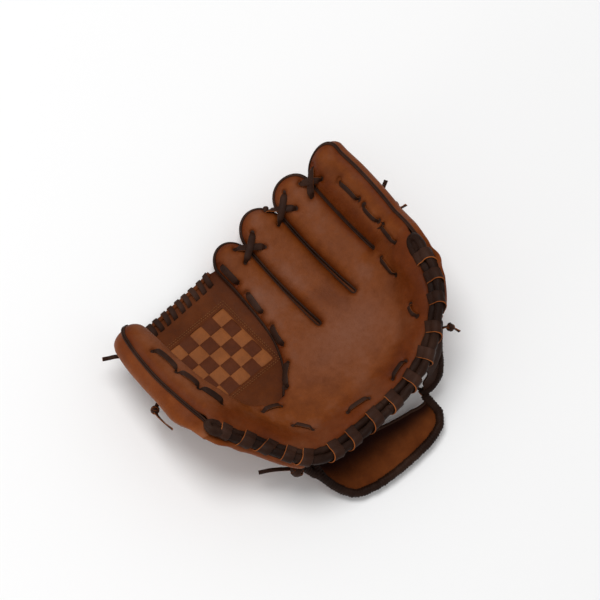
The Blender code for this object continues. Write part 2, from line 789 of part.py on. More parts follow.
def make_cross(name, spot, start, stop, body):
    """Two strands of lace crossed over a slit."""
    cross = strand(name, spot, start, stop, -0.4, body)
    second = strand(name + "_cutter", spot, start, stop, 0.7, body)
    to_cutters(second, PIVOTS[body])
    add_boolean(cross, second, "UNION")


def finger_lace(name, finger, body, first, last, place_across, crown):
    """A lace up the front of one stall."""
    stations = []
    for j in range(13):
        left, right, v, fade = finger.row(first + (last - first) * j / 12)
        rise = crown * fade ** 1.4 * across(place_across)
        stations.append((left + (right - left) * place_across, v, LACE_TOP + 0.7 + rise))
    surface_ribbon(name, stations, LACE_WIDTH, LACE_THICK, body)


def make_laces():
    for k in range(2):
        make_cross("cross_lace_%d" % (k + 1), SLIT_TOPS[k] + CROSS_SPOT, -13.0, 13.0, "palm")
    third = SLIT_TOPS[2] + CROSS_SPOT
    make_cross("cross_lace_3", third, -13.0, -1.2, "palm")
    make_cross("cross_lace_4", third, 1.2, 13.0, "little")
    finger_lace("index_edge_lace", FINGERS["index"], "palm", 0.05, 0.8, 0.24, CROWN)
    finger_lace("thumb_lace", THUMB, "thumb", 0.12, 0.8, 0.45, THUMB_CROWN)
    finger_lace("little_finger_lace", LITTLE, "little", 0.06, 0.68, 0.45, CROWN)
    heel = shifted([heel_point(4.9 + 5.4 * i / 16) for i in range(17)], 24.0)
    surface_ribbon("heel_lace", [(p.x, p.y, LACE_TOP) for p in heel], LACE_WIDTH, LACE_THICK, "palm")
    web_top = evenly(WEB_TOP, 12)
    bead = [web_place(p.x, p.y, -1.0) for p in web_top]
    tube("web_top_bead", bead, BEAD_RADIUS, "thumb", look=LOOK_LEATHER)
    make_web_lace()


def make_web_lace():
    """The lace whipped round the web's top edge."""
    turns, steps, radius = 10, 8, BEAD_RADIUS + WEB_LACE_CLEAR
    line = [web_place(p.x, p.y, -1.0) for p in evenly(WEB_TOP, turns * steps)[4:-4]]
    centres, ups = [], []
    for i, point in enumerate(line):
        ahead = (line[min(i + 1, len(line) - 1)] - line[max(i - 1, 0)]).normalized()
        outward = Vector((0.0, 0.0, 1.0)).cross(ahead).normalized()
        angle = 2.0 * math.pi * i / steps
        up = outward * math.cos(angle) + ahead.cross(outward) * math.sin(angle)
        centres.append(point + up * radius)
        ups.append(up)
    ribbon("web_top_lace", centres, ups, LACE_WIDTH, 1.2, "thumb")


def make_lace_ends():
    """Short tied ends of the laces, stiff stubs behind the edges."""
    for name, body, points in LACE_ENDS:
        line = evenly(points, 8)
        ups = [Vector((0.35, 0.2, 0.9))] * len(line)
        ribbon(name, line, ups, LACE_WIDTH - 1.0, LACE_THICK, body)


# ------------------------------------------------------------------ wrist strap

def make_strap():
    """The strap round the wrist: leather, its soft lining and the bound lower edge."""
    up = STRAP_UP.normalized()
    line = evenly(STRAP_LINE, 18)
    rows, lining, binding = [], [], []
    for i, point in enumerate(line):
        ahead = (line[min(i + 1, 18)] - line[max(i - 1, 0)]).normalized()
        inward = up.cross(ahead).normalized()
        down = inward.cross(ahead).normalized()
        binding.append(point + down * STRAP_ROLL_DROP)
        width = STRAP_WIDTH * (0.45 + 0.55 * math.sin(math.pi * i / 18.0))
        if 1 < i < 17:
            rows.append([point + up * (width * k / 4.0) for k in range(5)])
            lining.append([point + inward * LINING_AWAY + up * (3.0 + (width - 6.0) * k / 4.0)
                           for k in range(5)])
    add_thickness(mesh_from_rows("wrist_strap", rows, "strap", LOOK_LEATHER), LEATHER, 0.0)
    add_thickness(mesh_from_rows("strap_lining", lining, "strap", LOOK_LINING), LINING, 0.0)
    tube("strap_binding", binding, STRAP_ROLL, "strap")


# ------------------------------------------------------------------ scene

def clear_scene():
    for obj in list(bpy.data.objects):
        bpy.data.objects.remove(obj, do_unlink=True)
    for name in ("baseball_glove", "cutters"):
        collection = bpy.data.collections.new(name)
        bpy.context.scene.collection.children.link(collection)


def make_empty(name, location, parent):
    empty = bpy.data.objects.new(name, None)
    empty.empty_display_size = 0.03
    empty.location = location
    empty.parent = parent
    bpy.data.collections["baseball_glove"].objects.link(empty)
    return empty


def make_pivots():
    tilt = make_empty("glove_tilt", (0.0, 0.0, 0.0), None)
    tilt.rotation_mode = "QUATERNION"
    tilt.rotation_quaternion = REST_UP.rotation_difference(Vector((0.0, 0.0, 1.0)))
    tilt.location = (-BODY_CENTRE.x * MM, -BODY_CENTRE.y * MM, -FLOOR * MM)
    bpy.context.view_layer.update()
    PIVOTS["palm"] = make_empty("palm_pivot", (0.0, 0.0, 0.0), tilt)
    PIVOTS["thumb"] = make_empty("thumb_fold_pivot", THUMB_FOLD[0] * MM, tilt)
    PIVOTS["little"] = make_empty("little_finger_fold_pivot", LITTLE_FOLD[0] * MM, tilt)
    PIVOTS["strap"] = make_empty("strap_pivot", Vector(STRAP_LINE[0]) * MM, tilt)


def main():
    clear_scene()
    make_pivots()
    make_palm_shell()
    sheet_in_palm("palm_pad", 0.1, 2, 2, 4.0, LOOK_PAD)
    sheet_in_palm("palm_lining", -4.3, 2, 2, LINING, LOOK_LINING)
    for name in NAMES:
        make_back(name + "_back", FINGERS[name], BACK_DEPTH, "palm")
        make_stall(name + "_stall", FINGERS[name], CROWN, BACK_DEPTH, "palm")
    make_hand_back()
    make_welts()
    make_thumb()
    make_web()
    make_little_finger()
    make_binding()
    make_laces()
    make_lace_ends()
    make_strap()
    bpy.context.view_layer.update()


main()
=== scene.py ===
"""Looks of the baseball glove: moulded leather, welts, laces, woven web, bound heel, wrist strap.

Shapes are laid out in the glove's own frame, in millimetres: U across the palm to the little
finger, V along the fingers to their tips, W out of the palm. They are placed over the pocket's
surface and turned into the CAD frame's metres when a mesh is made.
"""
import math
import bpy
import numpy as np
from mathutils import Matrix, Vector, geometry, noise


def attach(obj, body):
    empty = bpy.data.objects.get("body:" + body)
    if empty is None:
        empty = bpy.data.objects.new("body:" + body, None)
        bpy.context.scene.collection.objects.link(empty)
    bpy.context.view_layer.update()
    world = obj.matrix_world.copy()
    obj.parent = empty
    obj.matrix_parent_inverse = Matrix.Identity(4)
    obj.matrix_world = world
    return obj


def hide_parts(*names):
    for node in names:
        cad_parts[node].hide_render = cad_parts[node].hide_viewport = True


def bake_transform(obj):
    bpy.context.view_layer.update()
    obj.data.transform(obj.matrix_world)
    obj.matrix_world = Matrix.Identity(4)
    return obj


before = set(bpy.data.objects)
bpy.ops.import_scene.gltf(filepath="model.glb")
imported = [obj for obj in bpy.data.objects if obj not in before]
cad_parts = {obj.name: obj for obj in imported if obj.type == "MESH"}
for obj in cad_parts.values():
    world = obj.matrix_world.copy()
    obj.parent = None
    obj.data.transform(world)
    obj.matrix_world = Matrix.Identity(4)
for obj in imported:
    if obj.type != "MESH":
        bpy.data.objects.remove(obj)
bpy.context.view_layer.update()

# How the glove lies, as in the CAD.
REST_UP = Vector((0.025, -0.256, 0.966)).normalized()
TILT = REST_UP.rotation_difference(Vector((0, 0, 1))).to_matrix()
SHIFT = Vector((-2.2, 29.9, 25.65))

# The camera, in the glove's frame.
VIEW_TILT = math.radians(28)
VIEW_TURN = math.radians(43)
VIEW_DISTANCE = 9000
VIEW_WIDTH = 600
VIEW_CENTRE = (16.5, -30)

# Leather.
LEATHER = 2.2
EDGE = 1.3
CROWN = 9
PALM_PUFF = 2.6
RIM_PUFF = 3.2
THUMB_PUFF = 12.5
LITTLE_PUFF = 8.5
ROUND_RADIUS = 15.5
BACK_RADIUS = 19
LITTLE_BACK_RADIUS = 15
FINGER_BACK = 20
HAND_BACK = 30
THUMB_BACK = 25
LITTLE_BACK = 19.5
RINGS = (0.5, 1.2, 2.2, 3.6, 5.4, 7.6, 10.2, 13.2)
GRID = 3.2
BACK_GRID = 3.6
SPLIT_U = 54

# Laces, welts and rolls.
WELT = 1.05
LACE_WIDTH = 6.2
LACE_THICK = 1.5
STITCH_THICK = 1.15
HOLE_RADIUS = 2.7
HOLE_APART = 5.5
HOLE_RINGS = (1.5, 2.6, 3.4, 5, 7)
ROLL_RADIUS = 4.4
ROLL_OFFSET = 4.9
WRAP_WIDTH = 11.8
WRAP_START = 11
WRAP_BEYOND = 22
WRAP_STEPS = (30, 22, 22, 19, 31, 26, 29, 29, 28, 29, 29, 28, 23, 22)
LOOP_REACH = 3
WHIPS = 11
WHIP_WIDTH = 5.8

# The pocket bowl.
TIP_CURL = 0.00198
HEEL_CURL = 0.00108
LITTLE_WALL = 111
LITTLE_SLOPE = 1.45
THUMB_WALL = -80
THUMB_SLOPE = 0.95
WEB_CURL = 0.0007
WEB_WALL = -112
WEB_WALL_SLOPE = 1.9

# Outlines, as in the CAD.
SLIT_ENDS = ((30.5, -19), (80.5, -17), (121.5, -4))
SLIT_TOPS = ((28, 88), (76.5, 92), (118.5, 92))
SLIT_HALF = ((1.9, 3), (1.9, 3), (1.25, 1.6))
TIPS = {"index": 100, "middle": 107.5, "ring": 109, "little": 99, "thumb": 80}
INDEX_EDGE = ((-51, -56), (-30, -33), (-17, -8), (-11, 18), (-9, 59), (-11, 88))
WEB_FOOT = ((-104, -30), (-93, -43), (-78, -51), (-64, -57), (-51, -56))
THUMB_OUTER = ((-148, -46), (-153, -13), (-156, 18), (-154, 49), (-149, 74))
THUMB_INNER = ((-104, -30), (-115.5, 0), (-120.5, 30), (-123, 55), (-125, 72))
LITTLE_OUTER = ((145, -38), (149, -16), (152, 20), (152, 53), (150, 78))
HEEL_LINE = ((-150, -60), (-140, -70), (-122, -86), (-103, -113), (-86, -130), (-66, -137),
             (-40, -139), (-8, -138), (30, -136), (58, -131), (84, -123), (106, -109),
             (122, -92), (135, -69), (142, -47))
HEEL_LAST = len(HEEL_LINE) - 1
WEB_TOP = ((-125, 88), (-100, 89), (-64, 90), (-34, 91), (-16, 91.5))
WEB_LEFT = ((-90, -50), (-107, -32), (-118.5, 0), (-124, 30), (-126, 55), (-126.5, 86))
WEB_RIGHT = ((-13, 90), (-6, 86), (-5, 59), (-7, 18), (-13, -8), (-26, -33), (-46, -54))
WEB_LOW = ((-46, -54), (-64, -62), (-79, -57), (-90, -50))
WINDOW_LOW = (-104, -16.5)
WINDOW_SIZE = 75
CHECKS = 5

# Wrist strap and its bindings, as points in the glove's frame.
STRAP_LINE = ((-72, -132, -34), (-62, -148, -51), (-46, -161, -59), (-7, -167, -61),
              (46, -164, -61), (69, -152, -57), (70, -128, -47))
STRAP_WIDTHS = ((0, 0.12, 0.3, 0.5, 0.73, 0.88, 1), (19, 31, 46, 43, 31, 16, 6))
STRAP_ROLL = 4.3
STRAP_TAB = ((-92, -106, 5), (-88, -113, -9), (-81, -122, -24), (-72, -132, -36))
WRIST_BINDING = ((70, -128, -47), (78, -132, -41), (87, -133, -29), (93, -130, -15), (98, -124, -4),
                 (105, -116, 5))
RIB_STEP = 0.75
RIB_PITCH = 2.9

# Folds: where the leather would bend with each joint; the bend ends are worked out but not used.
THUMB_AXIS = ((-12, 90), (-86, -131))
THUMB_BEND = 28
LITTLE_BEND = ((117, 20), (131, 20))


# ---- numbers and curves

def clamp(x):
    return np.clip(x, 0, 1)


def smooth_step(x):
    x = clamp(x)
    return x * x * (3 - 2 * x)


def soft_ramp(x, width):
    return width * np.logaddexp(0, x / width)


def bell(x, width):
    return np.exp(-(x / width) ** 2)


def unit(vectors):
    return vectors / np.linalg.norm(vectors, axis=-1, keepdims=True)


def circle(count):
    turn = np.linspace(0, math.tau, count, endpoint=False)
    return np.stack([np.cos(turn), np.sin(turn)], axis=1)


def full_turn(count):
    """Cosine and sine columns once round, with the first place again at the end."""
    turn = np.linspace(0, math.tau, count)[:, None]
    return np.cos(turn), np.sin(turn)


def ripple(points, scale, seed):
    """Smooth random waves over 2D points."""
    return np.array([noise.noise(Vector((a * scale, b * scale, seed))) for a, b in points])


def uneven(path, sides, size, pitch, seed):
    """Smooth random bumps round a tube, one row for each point of its path."""
    ring = [Vector((x, y, seed)) for x, y in circle(sides)]
    return size * np.array([[noise.noise(Vector(p * pitch) + spot) for spot in ring] for p in path])


def steady(count, low, high, seed):
    return np.random.default_rng(seed).uniform(low, high, count)


def bowl(u, v):
    """The pocket surface: W over U and V."""
    on_thumb = smooth_step((-67 - u) / 44)
    tip = TIP_CURL * np.maximum(v + 22, 0) ** 2 * (1 - 0.45 * on_thumb)
    heel = HEEL_CURL * np.maximum(-v - 44, 0) ** 2
    little = LITTLE_SLOPE * soft_ramp(u - (LITTLE_WALL + 0.3 * np.minimum(v, 0)), 13.3)
    thumb = (THUMB_SLOPE + 0.00108 * (v + 44)) * soft_ramp(THUMB_WALL - u, 15.5)
    return tip + heel + little + thumb


def web_surface(u, v):
    curl = WEB_CURL * np.maximum(v + 22, 0) ** 2
    near_index = bowl(u, v) * smooth_step((u + 34) / 30)
    return curl + 0.35 * near_index + WEB_WALL_SLOPE * soft_ramp(WEB_WALL - u, 3)


def normal(uv, surface=bowl):
    u, v = uv.T
    slope_u = surface(u + 0.5, v) - surface(u - 0.5, v)
    slope_v = surface(u, v + 0.5) - surface(u, v - 0.5)
    return unit(np.stack([-slope_u, -slope_v, np.ones(len(uv))], axis=1))


def place(uv, height, surface=bowl):
    """Points at a height over the surface at each (u, v)."""
    base = np.column_stack([uv, surface(*uv.T)])
    return base + np.broadcast_to(height, len(uv))[:, None] * normal(uv, surface)


def floored(points, above=0):
    """Points lifted to at least the given height over the floor."""
    lack = np.maximum(0, above - SHIFT.z - points @ np.array(REST_UP))
    return points + lack[:, None] * np.array(REST_UP)


def to_world(points):
    return (np.asarray(points, float) @ np.array(TILT).T + np.array(SHIFT)) * 0.001


def spline(points, t):
    """Points on a Catmull-Rom curve; t is an array from 0 to 1."""
    p = np.asarray(points, float)
    p = np.vstack([2 * p[0] - p[1], p, 2 * p[-1] - p[-2]])
    spans = len(p) - 3
    x = clamp(t) * spans
    i = np.minimum(x.astype(int), spans - 1)
    f = (x - i)[..., None]
    a, b, c, d = p[i], p[i + 1], p[i + 2], p[i + 3]
    return 0.5 * (2 * b + (c - a) * f + (2 * a - 5 * b + 4 * c - d) * f ** 2
                  + (3 * b - a - 3 * c + d) * f ** 3)


def lengths(line):
    """Length along a polyline up to each of its points."""
    return np.concatenate([[0], np.cumsum(np.linalg.norm(np.diff(line, axis=0), axis=1))])


def evenly(line, step=None, count=None):
    """A polyline resampled to equal steps."""
    length = lengths(line)
    count = count or max(2, int(round(length[-1] / step)))
    goal = np.linspace(0, length[-1], count + 1)
    return np.stack([np.interp(goal, length, column) for column in line.T], axis=1)


def curve(points, step=1.6, count=None):
    return evenly(spline(points, np.linspace(0, 1, 60 * (len(points) - 1))), step, count)


def closed(line):
    return np.vstack([line, line[:1]])


def nearest(line, spot):
    return int(np.argmin(np.linalg.norm(line - np.array(spot), axis=1)))


def heel_point(t):
    return spline(HEEL_LINE, t / HEEL_LAST)


def sideways(line, distance):
    """A 2D line moved to the left of its direction."""
    ahead = unit(np.gradient(line, axis=0))
    return line + distance * np.stack([-ahead[:, 1], ahead[:, 0]], axis=1)


# ---- outlines

def slit_side(k, side, v):
    """U of one side of a slit; the slit is a little wider at its foot."""
    (u0, v0), (u1, v1) = SLIT_ENDS[k], SLIT_TOPS[k]
    f = (v - v0) / (v1 - v0)
    narrow, wide = SLIT_HALF[k]
    return u0 + (u1 - u0) * f + side * (wide + (narrow - wide) * clamp(f * 1.6))


def edge_over_v(points):
    line = curve(points)
    return lambda v: np.interp(v, line[:, 1], line[:, 0])


SIDES = {
    "index": (edge_over_v(INDEX_EDGE), lambda v: slit_side(0, -1, v)),
    "middle": (lambda v: slit_side(0, 1, v), lambda v: slit_side(1, -1, v)),
    "ring": (lambda v: slit_side(1, 1, v), lambda v: slit_side(2, -1, v)),
    "little": (lambda v: slit_side(2, 1, v), edge_over_v(LITTLE_OUTER)),
    "thumb": (edge_over_v(THUMB_OUTER), edge_over_v(THUMB_INNER)),
}


def over_finger(name, v_left, v_right):
    """Up one side of a finger, round its tip and down the other side."""
    left, right = SIDES[name]
    below_tip = TIPS[name] - 20
    half = (right(below_tip) - left(below_tip)) / 2
    v_round = TIPS[name] - half
    turn = np.linspace(0, math.pi, 32)
    v = v_round + half * np.sin(turn)
    middle, reach = (left(v) + right(v)) / 2, (right(v) - left(v)) / 2
    tip = np.stack([middle - reach * np.cos(turn), v], axis=1)
    up, down = (np.linspace(low, v_round, 60)[:-1] for low in (v_left, v_right))
    return np.vstack([np.stack([left(up), up], axis=1), tip,
                      np.stack([right(down), down], axis=1)[::-1]])


def slit_foot(k):
    (u, v), half = SLIT_ENDS[k], SLIT_HALF[k][1]
    turn = np.linspace(0, math.pi, 10)[1:-1]
    return np.stack([u - half * np.cos(turn), v - half * np.sin(turn)], axis=1)


def heel_edge(first, last, inset, end_inset=None, count=120):
    """The leather's edge along the heel; it may run out under the binding's end loops."""
    t = np.linspace(first, last, count)
    if end_inset is not None:
        from_end = np.minimum(t, HEEL_LAST - t)
        inset = end_inset + (inset - end_inset) * smooth_step((from_end - 0.4) / 0.9)[:, None]
    return sideways(heel_point(t), inset)


def front_outline():
    """The leather's front outline without its heel edge, clockwise from the thumb's heel end."""
    parts = [over_finger("thumb", -44, -30), curve(WEB_FOOT)[1:-1], over_finger("index", -56, -19)]
    for k, name, v_right in ((0, "middle", -17), (1, "ring", -4), (2, "little", -36)):
        parts += [slit_foot(k), over_finger(name, SLIT_ENDS[k][1], v_right)]
    return evenly(np.vstack(parts), 1.5)


# ---- filling outlines with triangles

def by_parts(points, measure):
    return np.concatenate([measure(points[i:i + 2000, None, :]) for i in range(0, len(points), 2000)])


def distances(points, line):
    """Distance from each point to an open polyline."""
    a, d = line[:-1], np.diff(line, axis=0)
    squared = np.maximum((d ** 2).sum(1), 1e-12)

    def measure(p):
        t = clamp(((p - a) * d).sum(2) / squared)
        return np.sqrt((((a + t[..., None] * d) - p) ** 2).sum(2)).min(1)

    return by_parts(points, measure)


def distances_to_points(points, targets):
    return by_parts(points, lambda p: np.sqrt(((p - targets) ** 2).sum(2)).min(1))


def inside(points, loop):
    x, y = points.T
    hit = np.zeros(len(points), bool)
    for (ax, ay), (bx, by) in zip(loop, np.roll(loop, -1, axis=0)):
        crosses = (ay > y) != (by > y)
        hit ^= crosses & (x < (bx - ax) * (y - ay) / (by - ay + 1e-12) + ax)
    return hit


def fill_region(loop, rings=RINGS, grid=GRID, extra=None, holes=()):
    """Triangles over a 2D region: points along its edge, in rings inside it and on a grid."""
    lines = (loop, *holes)

    def room(points):
        return np.min([distances(points, closed(line)) for line in lines], axis=0)

    def within(points):
        return inside(points, loop) & ~np.any([inside(points, hole) for hole in holes], axis=0)

    edges, first, found = [], 0, []
    for line in lines:
        edges += [(first + i, first + (i + 1) % len(line)) for i in range(len(line))]
        first += len(line)
        ahead = unit(np.roll(line, -1, axis=0) - np.roll(line, 1, axis=0))
        out = np.stack([ahead[:, 1], -ahead[:, 0]], axis=1)
        for r in rings:
            for side in (1, -1):
                moved = (line + side * r * out)[::1 if r < 3 else 2]
                found.append(moved[room(moved) > 0.93 * r])
    low, high = loop.min(0), loop.max(0)
    field = []
    for j, v in enumerate(np.arange(low[1], high[1], grid * 0.87)):
        u = np.arange(low[0] + (grid / 2 if j % 2 else 0), high[0], grid)
        field.append(np.column_stack([u, np.full(len(u), v)]))
    field = np.vstack(field)
    inner = np.vstack(found + [field[room(field) > rings[-1] * 1.12]])
    if extra is not None:
        inner = np.vstack([inner[distances_to_points(inner, extra) > 1.1], extra])
    every = [Vector(p) for p in np.vstack([*lines, inner[within(inner)]])]
    flat, _, faces, _, _, _ = geometry.delaunay_2d_cdt(every, edges, [], 1, 1e-5, False)
    flat = np.array([p[:] for p in flat])
    faces = np.array([f for f in faces if len(f) == 3])
    faces = faces[within(flat[faces].mean(1))]
    a, b, c = flat[faces].transpose(1, 0, 2)
    turned = np.cross(b - a, c - a) < 0
    faces[turned] = faces[turned][:, ::-1]
    return flat, faces


def border_of(faces):
    """Directed edges that only one triangle has."""
    edges = np.vstack([faces[:, [0, 1]], faces[:, [1, 2]], faces[:, [2, 0]]]).tolist()
    own = {tuple(e) for e in edges}
    return [e for e in edges if (e[1], e[0]) not in own]


def smooth_normals(points, faces):
    a, b, c = points[faces].transpose(1, 0, 2)
    total = np.zeros_like(points)
    for k in range(3):
        np.add.at(total, faces[:, k], np.cross(b - a, c - a))
    return total / np.maximum(np.linalg.norm(total, axis=1, keepdims=True), 1e-12)


# ---- materials

def set_inputs(node, inputs):
    """Each input of a shader node is linked to a socket or set to a value."""
    for key, value in inputs.items():
        if isinstance(value, bpy.types.NodeSocket):
            node.id_data.links.new(value, node.inputs[key])
        else:
            node.inputs[key].default_value = value


def add_node(tree, kind, inputs, **settings):
    new = tree.nodes.new(kind)
    for key, value in settings.items():
        setattr(new, key, value)
    set_inputs(new, inputs)
    return new


def new_material(name):
    """A material and its main shader."""
    material = bpy.data.materials.new(name)
    material.use_nodes = True
    return material, material.node_tree.nodes["Principled BSDF"]


def ramp(tree, source, stops):
    """A colour ramp; a stop's colour may be one grey value."""
    new = add_node(tree, "ShaderNodeValToRGB", {"Fac": source})
    elements = new.color_ramp.elements
    for k, (position, colour) in enumerate(stops):
        element = elements[k] if k < 2 else elements.new(position)
        element.position = position
        element.color = (*np.broadcast_to(colour, 3), 1)
    return new.outputs["Color"]


def blend_colour(tree, kind, factor, a, b):
    mix = add_node(tree, "ShaderNodeMix", {"Factor": factor, "A": a, "B": b}, data_type="RGBA",
                   blend_type=kind)
    return mix.outputs["Result"]


def leather(name, deep, base, light, shine, rough=(0.42, 0.58), pores=1, grain=1, wear_sheen_and_shade=True,
            dark=(0.55, 0.42, 0.32), sheen=0):
    """Leather: mottled colour, a pebbled grain with fine pores, and shine that varies with it.

    With its painted layers on, it is mixed towards its light colour by wear and painted sheen, and
    multiplied by its dark colour, a painted shade, where shade is painted on.
    """
    material, shader = new_material(name)
    tree = material.node_tree
    here = tree.nodes.new("ShaderNodeTexCoord").outputs["Object"]

    def clouds(scale, detail, roughness):
        inputs = {"Vector": here, "Scale": scale, "Detail": detail, "Roughness": roughness}
        return add_node(tree, "ShaderNodeTexNoise", inputs).outputs["Fac"]

    def painted(key):
        return add_node(tree, "ShaderNodeAttribute", {}, attribute_name=key).outputs["Fac"]

    def relief(height, strength, distance, below):
        inputs = {"Height": height, "Strength": strength * grain, "Distance": distance, **below}
        return add_node(tree, "ShaderNodeBump", inputs).outputs["Normal"]

    patch = clouds(140, 6, 0.7)
    cells = add_node(tree, "ShaderNodeTexVoronoi", {"Vector": here, "Scale": 760 * pores,
                                                    "Randomness": 1}).outputs["Distance"]
    tone = ramp(tree, clouds(22, 4, 0.6), ((0.3, deep), (0.5, base), (0.74, light)))
    speck = ramp(tree, patch, ((0.3, (0.8, 0.78, 0.76)), (0.72, 1.12)))
    tone = blend_colour(tree, "MULTIPLY", 0.75, tone, speck)
    # Painted layers: lighter towards the light colour by the wear and sheen attribute (real wear on the
    # crowns, a painted sheen over the pocket), darker by the dark colour where painted shade is.
    if wear_sheen_and_shade:
        wear_and_sheen_mask = {0: painted("wear_and_sheen"), 1: ramp(tree, patch, ((0.25, 0.35), (0.65, 1)))}
        wear_and_sheen_mask = add_node(tree, "ShaderNodeMath", wear_and_sheen_mask, operation="MULTIPLY").outputs[0]
        tone = blend_colour(tree, "MIX", wear_and_sheen_mask, tone, (*light, 1))
        tone = blend_colour(tree, "MULTIPLY", painted("painted_shade"), tone, (*dark, 1))
    pits = ramp(tree, cells, ((0, 0.72), (0.35, 1)))
    pebbles = add_node(tree, "ShaderNodeMath", {0: cells, 1: 0.9, 2: clouds(2100 * pores, 3, 0.6)},
                       operation="MULTIPLY_ADD").outputs[0]
    fine = relief(pebbles, 0.32, 0.0004, {})
    set_inputs(shader, {
        "Base Color": blend_colour(tree, "MULTIPLY", 0.45 * grain, tone, pits),
        "Roughness": ramp(tree, patch, ((0.25, rough[0]), (0.75, rough[1]))),
        "Normal": relief(patch, 0.35, 0.0016, {"Normal": fine}),
        "Specular IOR Level": shine, "Sheen Weight": sheen})
    return material


# Each look: its slot, its material, its deep, middle and light colours, its shine and the rest.
LEATHERS = {
    # Each look's dark colour is the painted shade it is multiplied by, and its light colour is also what
    # painted wear and sheen lighten it towards.
    "brown": ("brown_leather", "glove_leather", (0.108, 0.024, 0.0034), (0.162, 0.0395, 0.0062),
              (0.185, 0.066, 0.033), 0.09, {"dark": (0.6, 0.4, 0.12)}),
    # The back leather is the front's brown painted lighter and yellower, standing for the light that falls
    # on the backs.
    "back": ("back_leather", "back_leather", (0.165, 0.043, 0.0085), (0.225, 0.064, 0.015),
             (0.27, 0.098, 0.042), 0.09, {"dark": (0.6, 0.4, 0.12)}),
    "web": ("brown_leather", "web_leather", (0.066, 0.0145, 0.0024), (0.09, 0.021, 0.0038),
            (0.118, 0.03, 0.007), 0.06, {}),
    "tan": ("light_inlay", "inlay_tan", (0.185, 0.056, 0.015), (0.225, 0.071, 0.0195),
            (0.265, 0.088, 0.0265), 0.08, {"wear_sheen_and_shade": False}),
    "chestnut": ("dark_inlay", "inlay_brown", (0.066, 0.016, 0.005), (0.084, 0.0215, 0.0072),
                 (0.106, 0.029, 0.0105), 0.06, {"wear_sheen_and_shade": False}),
    "lace": ("dark_lace", "dark_rawhide", (0.016, 0.0062, 0.0034), (0.029, 0.0112, 0.0062),
             (0.045, 0.02, 0.0125), 0.08,
             {"rough": (0.45, 0.62), "pores": 1.4, "grain": 0.8, "wear_sheen_and_shade": False}),
    "roll": ("dark_lace", "dark_roll", (0.0085, 0.0034, 0.002), (0.017, 0.0066, 0.0036),
             (0.033, 0.0145, 0.0085), 0.07, {"rough": (0.42, 0.6), "pores": 1.2, "wear_sheen_and_shade": False}),
    "cut": ("dark_lace", "cut_edge", (0.19, 0.048, 0.01), (0.27, 0.074, 0.016),
            (0.34, 0.105, 0.028), 0.1, {"rough": (0.7, 0.9), "pores": 2, "wear_sheen_and_shade": False}),
    # The lining's deep dark colour paints the heel's shadow over the strap lining.
    "lining": ("lining_leather", "lining_leather", (0.085, 0.019, 0.0034), (0.12, 0.029, 0.0056),
               (0.16, 0.043, 0.01), 0.05,
               {"rough": (0.75, 0.92), "pores": 1.8, "dark": (0.1, 0.06, 0.05), "sheen": 0.06}),
    "thread": ("light_inlay", "tan_thread", (0.14, 0.05, 0.016), (0.19, 0.07, 0.023),
               (0.24, 0.095, 0.036), 0.1, {"rough": (0.6, 0.8), "pores": 3, "wear_sheen_and_shade": False}),
    "felt": ("wool_felt", "wool_felt", (0.06, 0.038, 0.025), (0.085, 0.056, 0.037),
             (0.12, 0.082, 0.056), 0.1,
             {"rough": (0.9, 1), "pores": 0.7, "wear_sheen_and_shade": False, "sheen": 0.4}),
}
LOOK = {look: leather(*row, **more) for look, (_, *row, more) in LEATHERS.items()}


# ---- making pieces

def add_object(name, data):
    obj = bpy.data.objects.new(name, data)
    bpy.context.scene.collection.objects.link(obj)
    return obj


def bend_ends():
    """Where each fold's bend starts and ends, in metres."""
    low, high = (np.array(p) for p in THUMB_AXIS)
    ahead = unit(high - low)
    thumb = (low, low + THUMB_BEND * np.array((ahead[1], -ahead[0])))
    return {body: [Vector(to_world((*p, 0))) for p in ends]
            for body, ends in (("thumb", thumb), ("little_finger", LITTLE_BEND))}


BEND = bend_ends()


def build(name, points, faces, rides, materials, replaced=(), face_looks=None, values=None, thick=0):
    """A mesh in the scene, parented to its body's empty; one whose body ends in '~' stays in place
    unparented.
    """
    mesh = bpy.data.meshes.new(name)
    mesh.from_pydata(to_world(points).tolist(), [], [list(map(int, f)) for f in faces])
    for material in materials:
        mesh.materials.append(LOOK[material])
    if face_looks is not None:
        mesh.polygons.foreach_set("material_index", np.asarray(face_looks, np.int32))
    mesh.polygons.foreach_set("use_smooth", [True] * len(mesh.polygons))
    for key, value in (values or {}).items():
        attribute = mesh.attributes.new(key, "FLOAT", "POINT")
        attribute.data.foreach_set("value", np.asarray(value, np.float32))
    mesh.update()
    obj = add_object(name, mesh)
    body = rides.rstrip("~")
    if body != rides:
        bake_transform(obj)
    else:
        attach(obj, rides)
    if replaced:
        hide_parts(*replaced)
    if thick:
        shell = obj.modifiers.new("thickness", "SOLIDIFY")
        shell.thickness = thick * 0.001
        shell.offset = -1
        shell.use_even_offset = False
        shell.material_offset = len(materials) - 1
        shell.material_offset_rim = len(materials) - 1
    return obj


def skin(name, outer, inner, faces, rim, normals, rides, replaced, values, looks):
    """Leather with both of its sides and a cut edge along the rim."""
    count = len(outer)
    every = [*faces.tolist(), *(faces[:, ::-1] + count).tolist()]
    every += [(b, a, a + count, b + count) for a, b in rim]
    kinds = [0] * len(faces) + [1] * (len(faces) + len(rim))
    doubled = {key: np.concatenate([value, value * 0]) for key, value in values.items()}
    obj = build(name, np.vstack([outer, inner]), every, rides, looks, replaced, kinds, doubled)
    both = np.vstack([normals, -normals]) @ np.array(TILT).T
    obj.data.normals_split_custom_set_from_vertices(both.tolist())
    return obj


def grid_faces(rows, columns, wrap=False):
    """Quads between rows of points; wrapped rows join end to end."""
    faces = []
    for j in range(0, (rows - 1) * columns, columns):
        for i in range(columns if wrap else columns - 1):
            k = (i + 1) % columns
            faces.append((j + i, j + k, j + columns + k, j + columns + i))
    return faces


